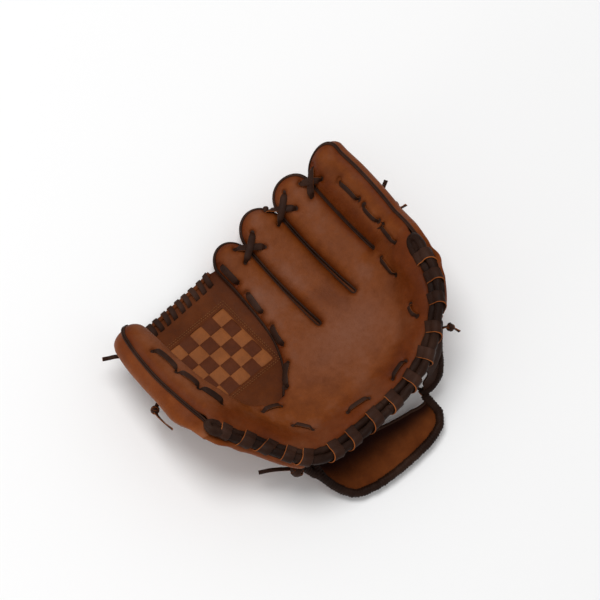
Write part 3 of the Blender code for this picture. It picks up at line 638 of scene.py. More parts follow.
def build_sheet(name, lines, rides, materials, replaced=(), turned=False, **more):
    """An open sheet through lines of points, which may be turned over."""
    faces = grid_faces(len(lines[0]), len(lines))
    faces = [f[::-1] for f in faces] if turned else faces
    return build(name, np.stack(lines, 1).reshape(-1, 3), faces, rides, materials, replaced, **more)


def fan(middle, ring):
    """A disc between its middle and the points round it."""
    count = len(ring)
    return np.vstack([middle, ring]), [(0, 1 + i, 1 + (i + 1) % count) for i in range(count)]


def loft(rings):
    """A closed skin over rings of points, with a cap at each end."""
    rows, sides = rings.shape[:2]
    last = (rows - 1) * sides
    caps = [tuple(range(sides))[::-1], tuple(range(last, last + sides))]
    return rings.reshape(-1, 3), grid_faces(rows, sides, wrap=True) + caps


def frames_along(line, ups):
    """Side and up at each point of a path."""
    ahead = unit(np.gradient(line, axis=0))
    side = unit(np.cross(ahead, ups))
    return side, np.cross(side, ahead)


def tube_mesh(line, radius, ups, sides=10, ribs=0):
    """Points and faces of a tube; radius may vary along it and ribs around it."""
    side, up = frames_along(line, ups)
    x, y = circle(sides).T[:, None, :, None]
    reach = np.broadcast_to(radius, len(line))[:, None] + np.broadcast_to(ribs, (len(line), sides))
    return loft(line[:, None] + (x * side[:, None] + y * up[:, None]) * reach[..., None])


def ribbon_mesh(line, ups, width, thick, twist=0, edge=0.35, cut=(4, 9)):
    """A flat lace with slightly crowned faces: points, faces and looks (0 skin, 1 cut edge)."""
    side, up = frames_along(line, ups)
    twist = np.broadcast_to(twist, len(line))[:, None]
    side, up = np.cos(twist) * side + np.sin(twist) * up, np.cos(twist) * up - np.sin(twist) * side
    width = np.broadcast_to(width, len(line))
    inset = 1 - 2 * edge / width
    shape = ((-1, -0.2, 0), (-1, -0.5, 1), (0, -0.56, 1), (1, -0.5, 1), (1, -0.2, 0),
             (1, 0.2, 0), (1, 0.5, 1), (0, 0.58, 1), (-1, 0.5, 1), (-1, 0.2, 0))
    columns = [line + side * (x * width / 2 * (inset if narrow else 1))[:, None] + up * (y * thick)
               for x, y, narrow in shape]
    points, faces = loft(np.stack(columns, axis=1))
    looks = [int(i % len(shape) in cut) for i in range(len(faces) - 2)]
    return points, faces, looks + [1, 1]


class Pile:
    """Several meshes gathered into one piece."""

    def __init__(self):
        self.points, self.faces, self.looks, self.count = [], [], [], 0

    def add(self, points, faces, looks=None):
        self.faces += [tuple(self.count + i for i in f) for f in faces]
        self.looks += looks or [0] * len(faces)
        self.points.append(points)
        self.count += len(points)

    def build(self, name, rides, materials, replaced=()):
        build(name, np.vstack(self.points), self.faces, rides, materials, replaced, self.looks)


# ---- front leather

FRONT = front_outline()
HEEL = heel_edge(0.1, HEEL_LAST - 0.1, 6, -1)
HEEL_MIDDLE = heel_edge(0.1, HEEL_LAST - 0.1, 0)
HEEL_UNDER = heel_edge(1.9, 12.2, 0)
INDEX_START = nearest(FRONT, INDEX_EDGE[0])

# Each stitched lace: its width and the pairs of holes it surfaces between.
STITCHES = {
    "index_edge_lace": (7, (((-7, 88), (-5, 63)), ((-4.5, 51), (-6.5, 26)),
                              ((-8, 10), (-14.5, -13.5)), ((-23, -30.5), (-43, -50)))),
    "thumb_root_lace": (5.8, (((-83, -58), (-62, -63.5)),)),
    "heel_lace": (4.8, (((-70, -89), (-59, -106)), ((-20, -116), (6, -119)), ((38, -120), (61, -115.5)),
                        ((104, -79), (99, -94)), ((120.5, -21), (115.5, -45)))),
    "little_finger_lace": (4.6, (((139.5, 63), (141, 36)), ((141, 28.5), (140.7, 6)),
                                 ((140.3, -1.5), (136, -27)))),
    "thumb_lace": (6.8, (((-146.5, 41), (-143.5, 12)), ((-143.5, 8.5), (-137.5, -14)),
                         ((-137, -17), (-126, -39)))),
}
THUMB_LACE_LEAN = (-0.2, -0.2, 0.6)
# Each cross: the CAD laces it shows, its centre and its two arms from there.
CROSSES = (
    (("cross_lace_1",), (28.3, 82.5), ((-13.2, 8.3), (13.2, -8.3)), ((12.8, 10), (-13.6, -8))),
    (("cross_lace_2",), (80.6, 90.5), ((-13, 9), (13, -8.2)), ((14, 10.5), (-13, -8.5))),
    (("cross_lace_3", "cross_lace_4"), (121.5, 86.5), ((-9.5, 8.5), (8, -7)),
     ((8, 7.5), (-9, -8.5))),
)


def all_holes():
    """Every punched hole; ends that lie close together share one."""
    holes = [end for _, pairs in STITCHES.values() for pair in pairs for end in pair]
    for _, centre, *arms in CROSSES:
        holes += [(centre[0] + a, centre[1] + b) for arm in arms for a, b in arm]
    apart = []
    for hole in np.array(holes, float):
        near = [k for k, other in enumerate(apart) if np.linalg.norm(other - hole) < HOLE_APART]
        if near:
            apart[near[0]] = (apart[near[0]] + hole) / 2
        else:
            apart.append(hole)
    return np.array(apart)


HOLES = all_holes()


def swell(u, v):
    """How far the padded leather stands up away from its seams."""
    puff = PALM_PUFF + (CROWN - PALM_PUFF) * smooth_step((v + 62) / 60)
    on_thumb = smooth_step((-84 - u) / 26) * (0.22 + 0.78 * smooth_step((v + 72) / 55))
    puff = puff + (THUMB_PUFF - puff) * on_thumb
    return puff + (LITTLE_PUFF - puff) * smooth_step((u - 112) / 16)


def round_over(d, radius):
    return (1 - (1 - clamp(d / radius)) ** 2.2) ** 0.62


def square_over(d, radius):
    """The same for the backs, which are fuller beside their seams."""
    return (1 - (1 - clamp(d / radius)) ** 4) ** 0.45


def cushion(points):
    """Smooth height of the front leather, its padding, and how far its seams and heel are."""
    u, v = points.T
    seam, heel = distances(points, FRONT), distances(points, HEEL)
    pad = swell(u, v) * round_over(seam, ROUND_RADIUS)
    rim = RIM_PUFF * smooth_step(1 - (heel - 17) / 15)
    full_from = 9 + 9 * smooth_step((-100 - u) / 30) + 8 * smooth_step((u - 112) / 20)
    return EDGE + (pad + rim) * round_over(heel, full_from), pad, seam, heel


def front_height(points):
    """Height of the front leather with and without its holes, its painted shade, and its wear and painted
    sheen.
    """
    u, v = points.T
    height, pad, seam, heel = cushion(points)
    near = distances_to_points(points, HOLES)
    plain = height - 1.6 * bell(near, 5) + 0.55 * ripple(points, 0.055, 3) * clamp(seam / 8)
    height = plain - 1.7 * smooth_step((HOLE_RADIUS + 0.3 - near) / 0.8)
    # Painted shade: darker along the seams, round the holes, along the heel rim and beside the little
    # finger; along the heel rim it also stands for darker burnished leather.
    painted_shade = bell(seam, 3.2) * 0.8 + bell(near, 4.2) * 0.7
    painted_shade = np.maximum(painted_shade, 0.75 * smooth_step(1 - (heel - 14) / 24))
    beside_little = smooth_step((u - 121) / 4) * smooth_step((140 - u) / 8)
    painted_shade = clamp(np.maximum(painted_shade, 0.75 * beside_little * smooth_step((v + 40) / 30)))
    # Lighter on the padded crowns, for wear and painted sheen, and over the pocket, a painted sheen; none
    # of it where painted shade is.
    pocket = bell(u - 42, 62) * bell(v + 52, 34)
    wear_and_sheen = np.maximum(smooth_step((pad - 6) / 6) * 0.5, pocket) * (1 - painted_shade)
    return height, plain, painted_shade, wear_and_sheen


def make_front():
    """The front leather: one skin, cut down the middle finger into a thumb-side half and a
    little-finger-side half.
    """
    loop = np.vstack([FRONT, evenly(HEEL, 1.6)[::-1]])
    round_holes = [(HOLES[:, None] + circle(12) * r).reshape(-1, 2) for r in HOLE_RINGS]
    flat, faces = fill_region(loop, extra=np.vstack([*round_holes, HOLES]))
    height, plain, painted_shade, wear_and_sheen = front_height(flat)
    outer, inner = place(flat, height), place(flat, plain - LEATHER)
    normals = smooth_normals(outer, faces)
    rim = {tuple(edge) for edge in border_of(faces)}
    thumb_side = flat[faces].mean(1)[:, 0] < SPLIT_U
    for name, rides, chosen, replaced in (
            ("palm_and_thumb_leather", "thumb~", thumb_side, ("palm_shell", "thumb_front")),
            ("palm_and_little_finger_leather", "little_finger~", ~thumb_side, ("little_finger_front",))):
        used, renumbered = np.unique(faces[chosen], return_inverse=True)
        new = {int(old): k for k, old in enumerate(used)}
        own = [(new[a], new[b]) for a, b in border_of(faces[chosen]) if (a, b) in rim]
        obj = skin(name, outer[used], inner[used], renumbered.reshape(-1, 3), own, normals[used], rides,
                   replaced, {"painted_shade": painted_shade[used], "wear_and_sheen": wear_and_sheen[used]}, ("brown", "lining"))


# ---- welts and laces

def make_welts():
    """The dark double bead sewn in between front and back leather."""
    thumb_end = nearest(FRONT, (-138, 80)) + 2
    for name, rides, line, replaced in (
            ("thumb_double_bead", "thumb", np.vstack([HEEL[:1], FRONT[:thumb_end]]), ("thumb_welt",)),
            ("finger_double_bead", "little_finger~", np.vstack([FRONT[INDEX_START:], HEEL[-1:]]),
             ("index_welt", "middle_welt", "ring_welt", "slit_welt_1", "slit_welt_2", "slit_welt_3",
              "little_finger_welt"))):
        pile = Pile()
        for out, depth in ((0.55, 0.35), (0.95, 2.35)):
            beside = sideways(evenly(line, 1.3), out)
            pile.add(*tube_mesh(place(beside, EDGE - depth), WELT, normal(beside), sides=8))
        pile.build(name, rides, ("lace",), replaced)


def make_slit_gussets():
    """A dark strip of leather closes each gap between two fingers from below."""
    pile = Pile()
    for top, foot in zip(SLIT_TOPS, SLIT_ENDS):
        line = np.linspace((top[0], top[1] - 12), (foot[0], foot[1] - 1), 40)
        pile.add(*ribbon_mesh(place(line, EDGE - 3.4), normal(line), 8, 1.2))
    pile.build("slit_gussets", "little_finger~", ("web", "web"))


def skin_frame(uv, lift=0):
    """Points on the front leather, lifted off it, and the directions out of it."""
    here, right, ahead = (place(spots, cushion(spots)[0])
                          for spots in (uv, uv + np.array((0.8, 0)), uv + np.array((0, 0.8))))
    out = unit(np.cross(right - here, ahead - here))
    return here + out * np.broadcast_to(lift, len(uv))[:, None], out


def dips(t, reach=0.13):
    """One along a lace, down to zero at both of its ends."""
    return smooth_step(t / reach) * smooth_step((1 - t) / reach)


def make_hole_discs():
    """The dark bottoms of the punched holes."""
    ring = circle(16) * (HOLE_RADIUS + 0.15)
    on_thumb = HOLES[:, 0] < SPLIT_U
    for side, chosen in (("thumb", on_thumb), ("little_finger", ~on_thumb)):
        pile = Pile()
        for hole in HOLES[chosen]:
            points, _ = skin_frame(np.vstack([hole, hole + ring]), -2.6)
            pile.add(*fan(points[0], points[1:]))
        pile.build(f"holes_{side}_side", side + "~", ("lace",))


def make_stitched_laces():
    """Flat laces that surface between pairs of punched holes."""
    t = np.linspace(0, 1, 26)
    arch = np.sin(math.pi * t)
    piles = {}
    for k, (name, (wide, pairs)) in enumerate(STITCHES.items()):
        for n, (a, b) in enumerate(np.array(pairs, float)):
            side = "thumb" if a[0] < SPLIT_U else "little_finger"
            bow = steady(1, -0.8, 0.8, 31 * k + n)[0]
            length = np.linalg.norm(b - a)
            across_lace = np.array((a[1] - b[1], b[0] - a[0])) / length
            uv = a + t[:, None] * (b - a) + (arch * bow)[:, None] * across_lace
            path, ups = skin_frame(uv, -3.4 + 4.5 * dips(t, 3.6 / length) + 0.9 * arch)
            if name == "thumb_lace":
                ups = ups + np.array(THUMB_LACE_LEAN)
            width = wide * (0.72 + 0.28 * dips(t, 0.25))
            pile = piles.setdefault((name, side), Pile())
            pile.add(*ribbon_mesh(path, ups, width, STITCH_THICK, twist=0.22 * arch * bow))
    waiting = set(STITCHES) & set(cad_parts)
    for (name, side), pile in piles.items():
        pile.build(f"{name}_{side}", side + "~", ("lace", "cut"), (name,) if name in waiting else ())
        waiting.discard(name)


def make_crosses():
    """The crossed laces that tie each fingertip to the next."""
    t = np.linspace(0, 1, 30)[:, None]
    for names, centre, *arms in CROSSES:
        pile = Pile()
        for k, ends in enumerate(arms):
            (pa, pb), (ua, ub) = skin_frame(np.array(ends) + np.array(centre))
            lift = -3.6 + 4.7 * dips(t, 0.15) + (0.3 + 1.7 * k) * bell(t - 0.5, 0.2)
            path = pa + t * (pb - pa) + lift * unit(ua + ub)
            width = LACE_WIDTH * (0.78 + 0.36 * dips(t[:, 0], 0.22))
            twist = 0.12 * np.sin(6 * t[:, 0] + k)
            pile.add(*ribbon_mesh(path, ua + t * (ub - ua), width, LACE_THICK, twist=twist))
        pile.build("tied_" + names[0], "little_finger~", ("lace", "cut"), names)


# ---- web

def web_place(uv, height):
    return place(uv, height, web_surface)


def window_loop(grow=0, round_off=1.2):
    """The window's square outline with slightly rounded corners."""
    half = WINDOW_SIZE / 2
    corners = []
    for k, sign in enumerate(((1, 1), (-1, 1), (-1, -1), (1, -1))):
        turn = math.pi / 2 * (k + np.linspace(0, 1, 4))
        centre = np.array(WINDOW_LOW) + half + np.array(sign) * (half + grow - round_off)
        corners.append(centre + round_off * np.stack([np.cos(turn), np.sin(turn)], axis=1))
    return evenly(closed(np.vstack(corners)), 1.6)


WINDOW = window_loop()


def web_height(points):
    """Height of the web's leather: pulled down beside the window and by its stitches."""
    edge = distances(points, WINDOW)
    return 0.5 * ripple(points, 0.05, 9) - 0.55 * bell(edge - 3.7, 2.2) - 0.5 * bell(edge, 0.8)


def make_web():
    """The web's leather with its sewn window, between thumb and index finger."""
    right = curve(WEB_RIGHT)
    loop = np.vstack([curve(WEB_LEFT), curve(WEB_TOP)[1:-1], right[:-1], curve(WEB_LOW)[:-1]])
    flat, faces = fill_region(loop, rings=(0.7, 1.8, 4), grid=4, holes=(WINDOW[:-1],))
    outer, inner = web_place(flat, web_height(flat)), web_place(flat, -LEATHER)
    # Painted shade along the web's edge beside the index finger.
    shade = bell(distances(flat, right), 9) * 0.7
    skin("web_leather", outer, inner, faces, border_of(faces), smooth_normals(outer, faces), "thumb~",
         ("web_panel",), {"painted_shade": shade}, ("web", "web"))


def make_inlay():
    """Five tan and five brown strips woven over and under each other in the window."""
    cell = WINDOW_SIZE / CHECKS
    half = cell / 2 - 0.12
    t = np.linspace(-0.35, CHECKS + 0.35, 74)
    tucked = 2.2 * smooth_step((np.maximum(-t, t - CHECKS) + 0.1) / 0.14)
    for k in range(CHECKS):
        for axis, look, kind in ((1, "tan", "light"), (0, "chestnut", "dark")):
            sway = np.cos(math.pi * (t - 0.5)) * (-1) ** (k + 1 - axis)
            sway = np.sign(sway) * np.abs(sway) ** 0.4 * 0.42
            rows = []
            for f in (-1, -0.96, -0.6, 0, 0.6, 0.96, 1):
                uv = np.empty((len(t), 2))
                uv[:, axis] = WINDOW_LOW[axis] + t * cell
                uv[:, 1 - axis] = WINDOW_LOW[1 - axis] + (k + 0.5) * cell + f * half
                drop = 0.5 if abs(f) == 1 else 0.12 * abs(f) ** 3
                rows.append(web_place(uv, sway - 1.7 - drop - tucked))
            node = f"inlay_{kind}_{k + 1}"
            build_sheet("woven_" + node, rows, "thumb~", (look,), (node,), turned=axis == 1, thick=1)


def make_window_stitches():
    """Two rows of thread stitches round the window."""
    pile = Pile()
    pitch, length, parts = 2.9, 2, 8
    radii = np.array([0.18, 0.42, 0.46, 0.42, 0.18])
    bow = np.array([-0.25, 0.12, 0.2, 0.12, -0.25])[:, None]
    for grow in (2.7, 4.9):
        loop = window_loop(grow, 1.6)
        path = web_place(loop, web_height(loop) + 0.12)
        count = int(lengths(path)[-1] / pitch)
        both = evenly(np.hstack([path, normal(loop, web_surface)]), count=count * parts)
        for first in range(0, count * parts, parts):
            stitch = evenly(both[first:first + int(parts * length / pitch) + 1], count=4)
            line, up = stitch[:, :3], stitch[:, 3:]
            pile.add(*tube_mesh(line + up * bow, radii, up, sides=6))
    pile.build("window_stitches", "thumb~", ("thread",))


def make_web_top():
    """The rolled top edge of the web and the lace whipped round it."""
    line = curve(WEB_TOP, 1.5)
    ups = normal(line, web_surface)
    path = web_place(line, -1)
    build("web_top_roll", *tube_mesh(path, 2.7, ups, sides=14), "thumb~", ("web",), ("web_top_bead",))
    pile = Pile()
    x, y = full_turn(40)
    for k in range(WHIPS):
        i = int((k + 0.6) / (WHIPS + 0.1) * (len(line) - 1))
        ahead = unit(path[i + 1] - path[i - 1])
        down = np.cross(ahead, ups[i])
        lean = ahead * steady(1, 0.1, 0.34, k)[0] * 6
        loop = path[i] + down * 3.4 + x * (lean - down * 7) + y * ups[i] * 3.7
        pile.add(*ribbon_mesh(loop, y * ups[i] - x * down * 0.6, WHIP_WIDTH, STITCH_THICK))
    pile.build("web_top_whipping", "thumb~", ("lace", "cut"), ("web_top_lace",))


# ---- heel binding

def heel_frames(t):
    """Centre of the binding, outward and up at each t along the heel."""
    here = heel_point(t)
    ahead = heel_point(np.minimum(t + 0.05, HEEL_LAST)) - heel_point(np.maximum(t - 0.05, 0))
    lift = np.where(t < HEEL_LAST / 2, 2.6, 5.4)
    rise = 0.6 + lift * smooth_step(1 - (np.minimum(t, HEEL_LAST - t) - 0.4) / 1.1)
    centre = place(here, rise)
    out = unit(place(here + unit(np.stack([ahead[:, 1], -ahead[:, 0]], axis=1)), rise) - centre)
    up = normal(here)
    return centre, out, unit(up - out * (up * out).sum(1, keepdims=True))


def wrap_times():
    """Where along the heel each turn of the lace sits, with one more beyond each end."""
    t = np.linspace(0, HEEL_LAST, 700)
    along = lengths(heel_frames(t)[0])
    steps = np.cumsum((0, *WRAP_STEPS))
    places = WRAP_START + np.array((-WRAP_BEYOND, *steps, steps[-1] + WRAP_BEYOND))
    beyond = np.minimum(places, 0) + np.maximum(places - along[-1], 0)
    return np.interp(places, along, t) + HEEL_LAST / along[-1] * beyond


WRAP_TIMES = wrap_times()
ROLLS = (("thumb", 7.5, 0.05, ("thumb_roll", "heel_roll_inner", "heel_roll_outer"), 1),
         ("little_finger", 7.45, 13.9, ("little_finger_roll",), 2))
WRAPS = (("thumb", range(0, 8), ("thumb_wrap", "heel_wrap")),
         ("little_finger", range(8, len(WRAP_STEPS) + 1), ("little_finger_wrap",)))


def roll_path(first, last):
    """Out along the inner roll, round the end loop and back along the outer roll."""
    t = np.linspace(first, last, int(abs(last - first) * 24))
    centre, out, up = heel_frames(t)
    spread = ROLL_OFFSET + 2 * smooth_step(1 - np.abs(t - last) / 0.5)[:, None]
    ahead = unit(centre[-1] - centre[-3])
    turn = np.linspace(0, math.pi, 16)[1:-1, None]
    end = (centre[-1] + ahead * np.sin(turn) * (spread[-1] + LOOP_REACH)
           - out[-1] * np.cos(turn) * spread[-1])
    ups = np.vstack([up, np.repeat(up[-1:], len(turn), 0), up[::-1]])
    from_turn = np.interp(t, WRAP_TIMES, np.arange(len(WRAP_TIMES))) % 1 - 0.5
    bulge = 0.5 + 0.5 * np.cos(math.tau * from_turn)
    bulge = np.concatenate([bulge, np.full(len(turn), 0.6), bulge[::-1]])
    path = np.vstack([centre - out * spread, end, (centre + out * spread)[::-1]])
    return path, ups, ROLL_RADIUS + 0.55 * (bulge - 0.5)


def make_rolls():
    """The two leather rolls along the heel, each half folded back on itself at its end."""
    for side, first, last, replaced, seed in ROLLS:
        name, rides = f"heel_rolls_{side}_side", side + "~"
        path, ups, radius = roll_path(first, last)
        lumps = uneven(path, 14, 0.9, 0.13, seed)
        build(name, *tube_mesh(path, radius, ups, sides=14, ribs=lumps), rides, ("roll",), replaced)
        # A dark disc fills the end loop's opening: painted shade.
        (centre, inner), _, (up, _) = heel_frames(np.array([last, last + (first - last) * 0.02]))
        ahead = unit(centre - inner)
        x, y = circle(16).T[..., None]
        ring = centre + up * 2.4 + x * ahead * 6 + y * np.cross(up, ahead) * 4.2
        build(name + "_hole_shade", *fan(centre + up * 2.4, ring), rides, ("roll",))


def round_rolls(x, radius):
    """A place and outward direction on the loop round both rolls, from under them (x 0 to 1)."""
    flat, around = 2 * ROLL_OFFSET, math.pi * radius
    s = (x * 2 * (flat + around) + 1.5 * flat + around) % (2 * (flat + around))
    side = 1 if s < flat + around else -1
    s = s % (flat + around)
    if s < flat:
        return side * (ROLL_OFFSET - s), side * radius, 0, side
    a = math.pi / 2 + (s - flat) / radius
    c, d = side * math.cos(a), side * math.sin(a)
    return radius * c - side * ROLL_OFFSET, radius * d, c, d


def make_wraps():
    """The flat lace wound round the rolls; it steps along underneath."""
    f = np.linspace(0, 1, 48)
    x = 2 * f - 1
    step_on = 0.4 * (0.28 * x + 0.72 * x ** 3)
    radius = ROLL_RADIUS + LACE_THICK / 2 + 0.1
    over, rise, lean_out, lean_up = np.array([round_rolls(g, radius) for g in f]).T[..., None]
    rise = rise - 0.7 * bell(f - 0.5, 0.05)[:, None]
    for side, chosen, replaced in WRAPS:
        pile = Pile()
        for k in chosen:
            wobble = steady(3, -1, 1, 77 + k)
            turn_at = k + 1 + 0.05 * wobble[0] + step_on * (1 + 0.5 * wobble[2])
            t = np.interp(turn_at, np.arange(len(WRAP_TIMES)), WRAP_TIMES)
            centre, out, up = heel_frames(np.clip(t, 0.1, HEEL_LAST - 0.1))
            width = WRAP_WIDTH * (1 + 0.07 * wobble[1])
            pile.add(*ribbon_mesh(centre + out * over + up * rise, out * lean_out + up * lean_up,
                                  width, LACE_THICK, edge=0.6, cut=(4, 8, 9)))
        pile.build(f"heel_lace_wraps_{side}_side", side + "~", ("lace", "cut"), replaced)


# ---- backs

def over_hand(v):
    return smooth_step((8 - v) / 44)


def hand_depth(v):
    return FINGER_BACK + (HAND_BACK - FINGER_BACK) * over_hand(v)


def hand_radius(v):
    return BACK_RADIUS + 12 * over_hand(v)


def back_skin(name, loop, seam, depth, radius, rides, replaced, lean=None):
    """Leather behind the fingers or hand: it falls away from its seams to the given depth."""
    flat, faces = fill_region(loop, grid=BACK_GRID)
    u, v = flat.T
    far, heel = distances(flat, seam), distances(flat, HEEL_MIDDLE)
    full = depth(v, heel) * square_over(far, radius(v))
    full = full + 0.6 * ripple(flat, 0.045, 17) * clamp(far / 8)
    full = full + 5 * smooth_step(1 - distances(flat, HEEL_UNDER) / 12)
    if lean:
        flat = np.column_stack([u + lean(u, v, heel) * square_over(far, 9), v])
    outer = floored(place(flat, -(EDGE + full)))
    faces = faces[:, ::-1]
    normals = smooth_normals(outer, faces)
    # Painted shade along the seams; lighter where the back stands out most, for wear and painted sheen.
    shade = {"painted_shade": bell(far, 3.5) * 0.8, "wear_and_sheen": smooth_step((full - 14) / 12) * 0.4}
    skin(name, outer, outer - normals * LEATHER, faces, border_of(faces), normals, rides, replaced,
         shade, ("back", "lining"))


def thumb_lean(u, v, heel):
    return -14 * smooth_step((-118 - u) / 24) * smooth_step(1.1 - heel / 70)


def little_lean(u, v, heel):
    reach = 2 + 5 * smooth_step(1 - heel / 45)
    return reach * smooth_step((u - 126) / 14) * smooth_step((100 - v) / 20)


def make_backs():
    """The backs of hand and fingers, thumb and little finger, and the bound edge at the wrist."""
    low_left, low_right = (-60, -90), (97, -92)
    little_start = nearest(FRONT, (118.9, -3))
    seam = np.vstack([curve((low_left, (-57, -73), (-51, -56)))[:-1], FRONT[INDEX_START:little_start],
                      curve(((119, -4), (113.5, -40), (105, -72), low_right))])
    wrist = curve((low_right, (60, -88), (20, -86), (-20, -86), low_left))
    back_skin("hand_and_finger_backs", np.vstack([seam, wrist[1:-1]]), seam,
              lambda v, heel: hand_depth(v), hand_radius, "little_finger~",
              ("hand_back", "index_back", "middle_back", "ring_back"))
    fine = evenly(wrist, 1.8)
    full = EDGE + hand_depth(fine[:, 1]) * square_over(distances(fine, seam), hand_radius(fine[:, 1]))
    edge = floored(place(fine, LEATHER / 2 - full), 2.4)
    build("wrist_edge_binding", *tube_mesh(edge, 2.3, -normal(fine)), "palm", ("lace",))
    loop = evenly(np.vstack([over_finger("thumb", -44, -30), curve(WEB_FOOT)[1:-1],
                             curve(((-52, -58), (-60, -80), (-74, -105), (-84, -124))),
                             heel_edge(0.1, 3.9, -5, -1, 60)[::-1]]), 1.6)
    back_skin("thumb_back_leather", loop, closed(loop),
              lambda v, heel: 9 + (THUMB_BACK - 9) * smooth_step(heel / 46),
              lambda v: BACK_RADIUS, "thumb~", ("thumb_back",), thumb_lean)
    loop = evenly(np.vstack([over_finger("little", -4, -36),
                             heel_edge(11.1, HEEL_LAST - 0.1, -5, -1, 60)[::-1],
                             curve(((107, -106), (106, -76), (115, -42), (122.5, -6)))[:-1]]), 1.6)
    back_skin("little_finger_back_leather", loop, closed(loop),
              lambda v, heel: 5 + (LITTLE_BACK - 5) * smooth_step(heel / 46),
              lambda v: LITTLE_BACK_RADIUS, "little_finger~", ("little_finger_back",), little_lean)


# ---- wrist strap

def ribbed(name, line, up, rides, replaced=(), taper=0):
    """Thick soft binding: a tube with fine ribs across it and a worn, uneven surface."""
    path = evenly(line, RIB_STEP)
    ribs = 0.32 * np.sin(np.arange(len(path)) * RIB_STEP * math.tau / RIB_PITCH)[:, None]
    ribs = ribs + uneven(path, 18, 0.75, 0.16, 3) + uneven(path, 18, 0.4, 0.6, 8)
    radius = STRAP_ROLL * (1 - taper * np.linspace(0, 1, len(path)))
    build(name, *tube_mesh(path, radius, up, sides=18, ribs=ribs), rides, ("roll",), replaced)


def make_strap():
    """The strap behind the wrist: leather, soft lining and a thick ribbed binding."""
    line = curve(STRAP_LINE, count=72)
    s = np.linspace(0, 1, len(line))[:, None]
    up = unit(np.array((0, 0.9, 0.43)))
    inward = np.cross((1, 0, 0), up)
    width = np.interp(s, *STRAP_WIDTHS)
    under, over, across = [], [], np.linspace(-0.02, 1, 16)
    for f in across:
        swelling = math.sin(math.pi * clamp(f))
        spot = line + up * width * f - inward * 3.2 * swelling
        under.append(floored(spot - inward * 1.4))
        puff = 0.4 + 1.5 * swelling ** 0.5 + 0.25 * np.sin(s * 90) * swelling
        over.append(floored(spot + inward * puff, 1.8))
    build_sheet("strap_leather", under, "strap", ("back", "cut"), ("wrist_strap",), thick=1.2)
    # Painted shadow of the heel over the lining, darker towards its inner edge.
    shade = np.tile(smooth_step((across - 0.3) / 0.6), len(line))
    lining = build_sheet("strap_soft_lining", over, "strap", ("lining",), ("strap_lining",), turned=True,
                         values={"painted_shade": shade}, thick=1)
    edge = np.vstack([line[:1] + up * width[0] * 0.9, line[:1] + up * width[0] * 0.35,
                      line - up * 3.2, line[-1:] + up * width[-1] * 0.9])
    edge = floored(curve(edge[::2], 1) + inward * 1.2, STRAP_ROLL + 0.9)
    ribbed("strap_ribbed_binding", edge, -inward, "strap", ("strap_binding",))
    inner_edge = line + up * width - inward * 0.3
    build("strap_inner_binding", *tube_mesh(inner_edge, 1.7, -inward), "strap", ("lace",))


def make_wrist_sides():
    """What joins strap and glove: a tab at the thumb, soft leather at the little finger."""
    wrist = curve(WRIST_BINDING, count=40)
    ribbed("wrist_opening_binding", wrist, (0, 0.4, 0.9), "palm", taper=0.35)
    ribbed("strap_thumb_side_tab", curve(STRAP_TAB, 1), (0.6, 0.6, 0.5), "thumb~")
    roof = place(heel_point(np.linspace(9.7, 11.4, len(wrist))), -4.5)
    rows = []
    for f in np.linspace(0, 1, 28):
        fold = np.array((1.3, -1, 0.6)) * math.sin(15 * f) - np.array((0, 0, 4))
        rows.append(wrist + (roof - wrist) * f + fold * math.sin(math.pi * f))
    build_sheet("wrist_side_leather", rows, "palm", ("lace",), thick=1.6)


# ---- knots and lace ends

# Each tied end: its body, its path, and where its knot sits and how large it is.
LACE_ENDS = (
    ("thumb_tip_lace_end", "thumb", ((-146, 66, 41), (-158, 74, 45), (-164, 78, 44), (-170, 81, 45)), ()),
    ("thumb_lace_end", "thumb", ((-150, 18, 22), (-160, 13, 26), (-166, 8, 28), (-168, -6, 30),
                                 (-167, -18, 30)), (0.35, 1)),
    ("thumb_heel_lace_end", "thumb~", ((-93, -127, -4), (-100, -117, -4), (-114, -105, -5),
                                       (-125, -98, -6)), (0.1, 1.7)),
    ("little_finger_lace_end", "little_finger", ((176, 38, 42), (167, 33, 36), (165, 20, 35),
                                                 (166, 8, 37), (172, 4, 41)), (0.7, 1)),
    ("heel_lace_end", "little_finger~", ((104, -113, 20), (111, -117, 25), (117, -121, 22),
                                         (121, -128, 18)), (0.6, 1)),
)
LACE_END_UP = np.array((0.35, 0.2, 0.9))
KNOT_TURNS = ((0.5, 3.2), (-0.6, 3.7), (1.2, 3))


def make_lace_ends():
    """Tied ends of the laces behind the edges, some with a knot."""
    x, y = full_turn(26)
    for name, rides, points, knot in LACE_ENDS:
        path = curve(points, 1)
        pile = Pile()
        pile.add(*ribbon_mesh(path, LACE_END_UP, 4.2, 1.4, twist=np.linspace(0, 1.1, len(path))))
        if knot:
            spot, size = knot
            i = int(spot * (len(path) - 2)) + 1
            ahead = unit(path[i] - path[i - 1])
            side = unit(np.cross(ahead, LACE_END_UP))
            rise = np.cross(side, ahead)
            for k, (lean, reach) in enumerate(KNOT_TURNS):
                tilted = rise * math.cos(lean) + ahead * math.sin(lean)
                out = (ahead * (k - 1) * 0.8 + (x * side + y * tilted) * reach) * size
                pile.add(*ribbon_mesh(path[i] + out, out, 3.4 * size, 1.5))
        pile.build(name + "_tied", rides, ("lace", "cut"), (name,))


def dress_cad_nodes():
    """The sleeves, lining and pad inside keep their CAD shape and get their own leather."""
    for name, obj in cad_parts.items():
        look = "felt" if name == "palm_pad" else "lining" if "stall" in name or "lining" in name else None
        if look:
            mesh = obj.data
            mesh.materials.clear()
            mesh.materials.append(LOOK[look])
            mesh.polygons.foreach_set("material_index", [0] * len(mesh.polygons))
            mesh.polygons.foreach_set("use_smooth", [True] * len(mesh.polygons))
            mesh.update()


# ---- stage

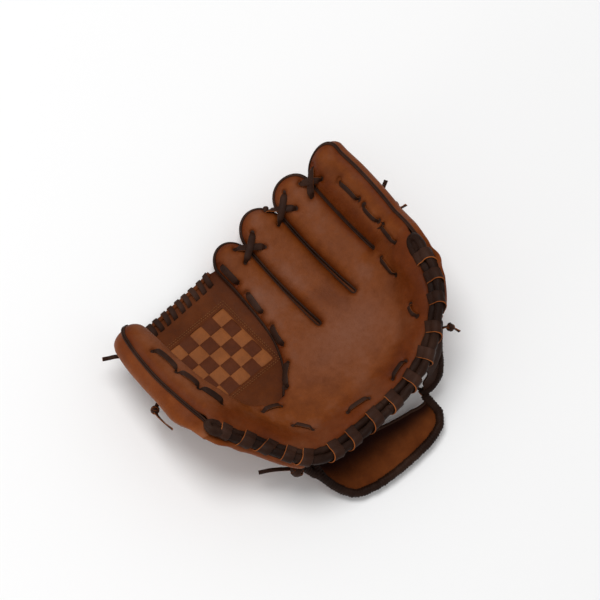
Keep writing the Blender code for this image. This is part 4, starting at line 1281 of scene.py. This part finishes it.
def make_camera():
    """A long lens, high over the palm and turned with it."""
    right = Vector((math.cos(VIEW_TURN), -math.sin(VIEW_TURN), 0))
    up = Vector((math.cos(VIEW_TILT) * math.sin(VIEW_TURN), math.cos(VIEW_TILT) * math.cos(VIEW_TURN),
                 math.sin(VIEW_TILT)))
    back = right.cross(up)
    eye = right * VIEW_CENTRE[0] - up * VIEW_CENTRE[1] + back * VIEW_DISTANCE
    data = bpy.data.cameras.new("camera")
    data.lens = data.sensor_width * VIEW_DISTANCE / VIEW_WIDTH
    data.clip_end = 60
    camera = add_object("camera", data)
    turned = (TILT @ Matrix((right, up, back)).transposed()).to_4x4()
    turned.translation = Vector(to_world(eye))
    camera.matrix_world = turned
    bpy.context.scene.camera = camera
    return [TILT @ axis for axis in (right, up, back)]


def add_light(name, direction, distance, size, power):
    data = bpy.data.lights.new(name, "AREA")
    data.shape = "DISK"
    data.size = size
    data.energy = power
    light = add_object(name, data)
    direction = direction.normalized()
    light.location = Vector((0, 0, 0.03)) + direction * distance
    light.rotation_mode = "QUATERNION"
    light.rotation_quaternion = direction.to_track_quat("Z", "Y")


def make_stage(right, up, back):
    """A pale floor, a large soft light high over the glove and a weaker one from the side."""
    mesh = bpy.data.meshes.new("floor")
    reach = 6
    mesh.from_pydata([(-reach, -reach, 0), (reach, -reach, 0), (reach, reach, 0), (-reach, reach, 0)],
                     [], [(0, 1, 2, 3)])
    floor = add_object("floor", mesh)
    floor.location = (0, 0, -0.0005)
    material, shader = new_material("pale_floor")
    set_inputs(shader, {"Base Color": (0.92, 0.92, 0.92, 1), "Roughness": 0.9,
                        "Specular IOR Level": 0.1})
    mesh.materials.append(material)
    world = bpy.data.worlds.new("studio")
    world.use_nodes = True
    set_inputs(world.node_tree.nodes["Background"], {"Color": (1, 1, 1, 1), "Strength": 0.56})
    bpy.context.scene.world = world
    bpy.context.scene.view_settings.view_transform = "Standard"
    add_light("key", up * 0.42 - right * 0.1 + back * 0.88, 4, 1.8, 84)
    add_light("fill", up * -0.55 - right * 0.75 + back * 0.45, 3, 1.6, 20)


for make in (make_front, make_welts, make_slit_gussets, make_hole_discs, make_stitched_laces, make_crosses,
             make_web, make_inlay, make_window_stitches, make_web_top, make_rolls, make_wraps, make_backs,
             make_strap, make_wrist_sides, make_lace_ends, dress_cad_nodes):
    make()
make_stage(*make_camera())
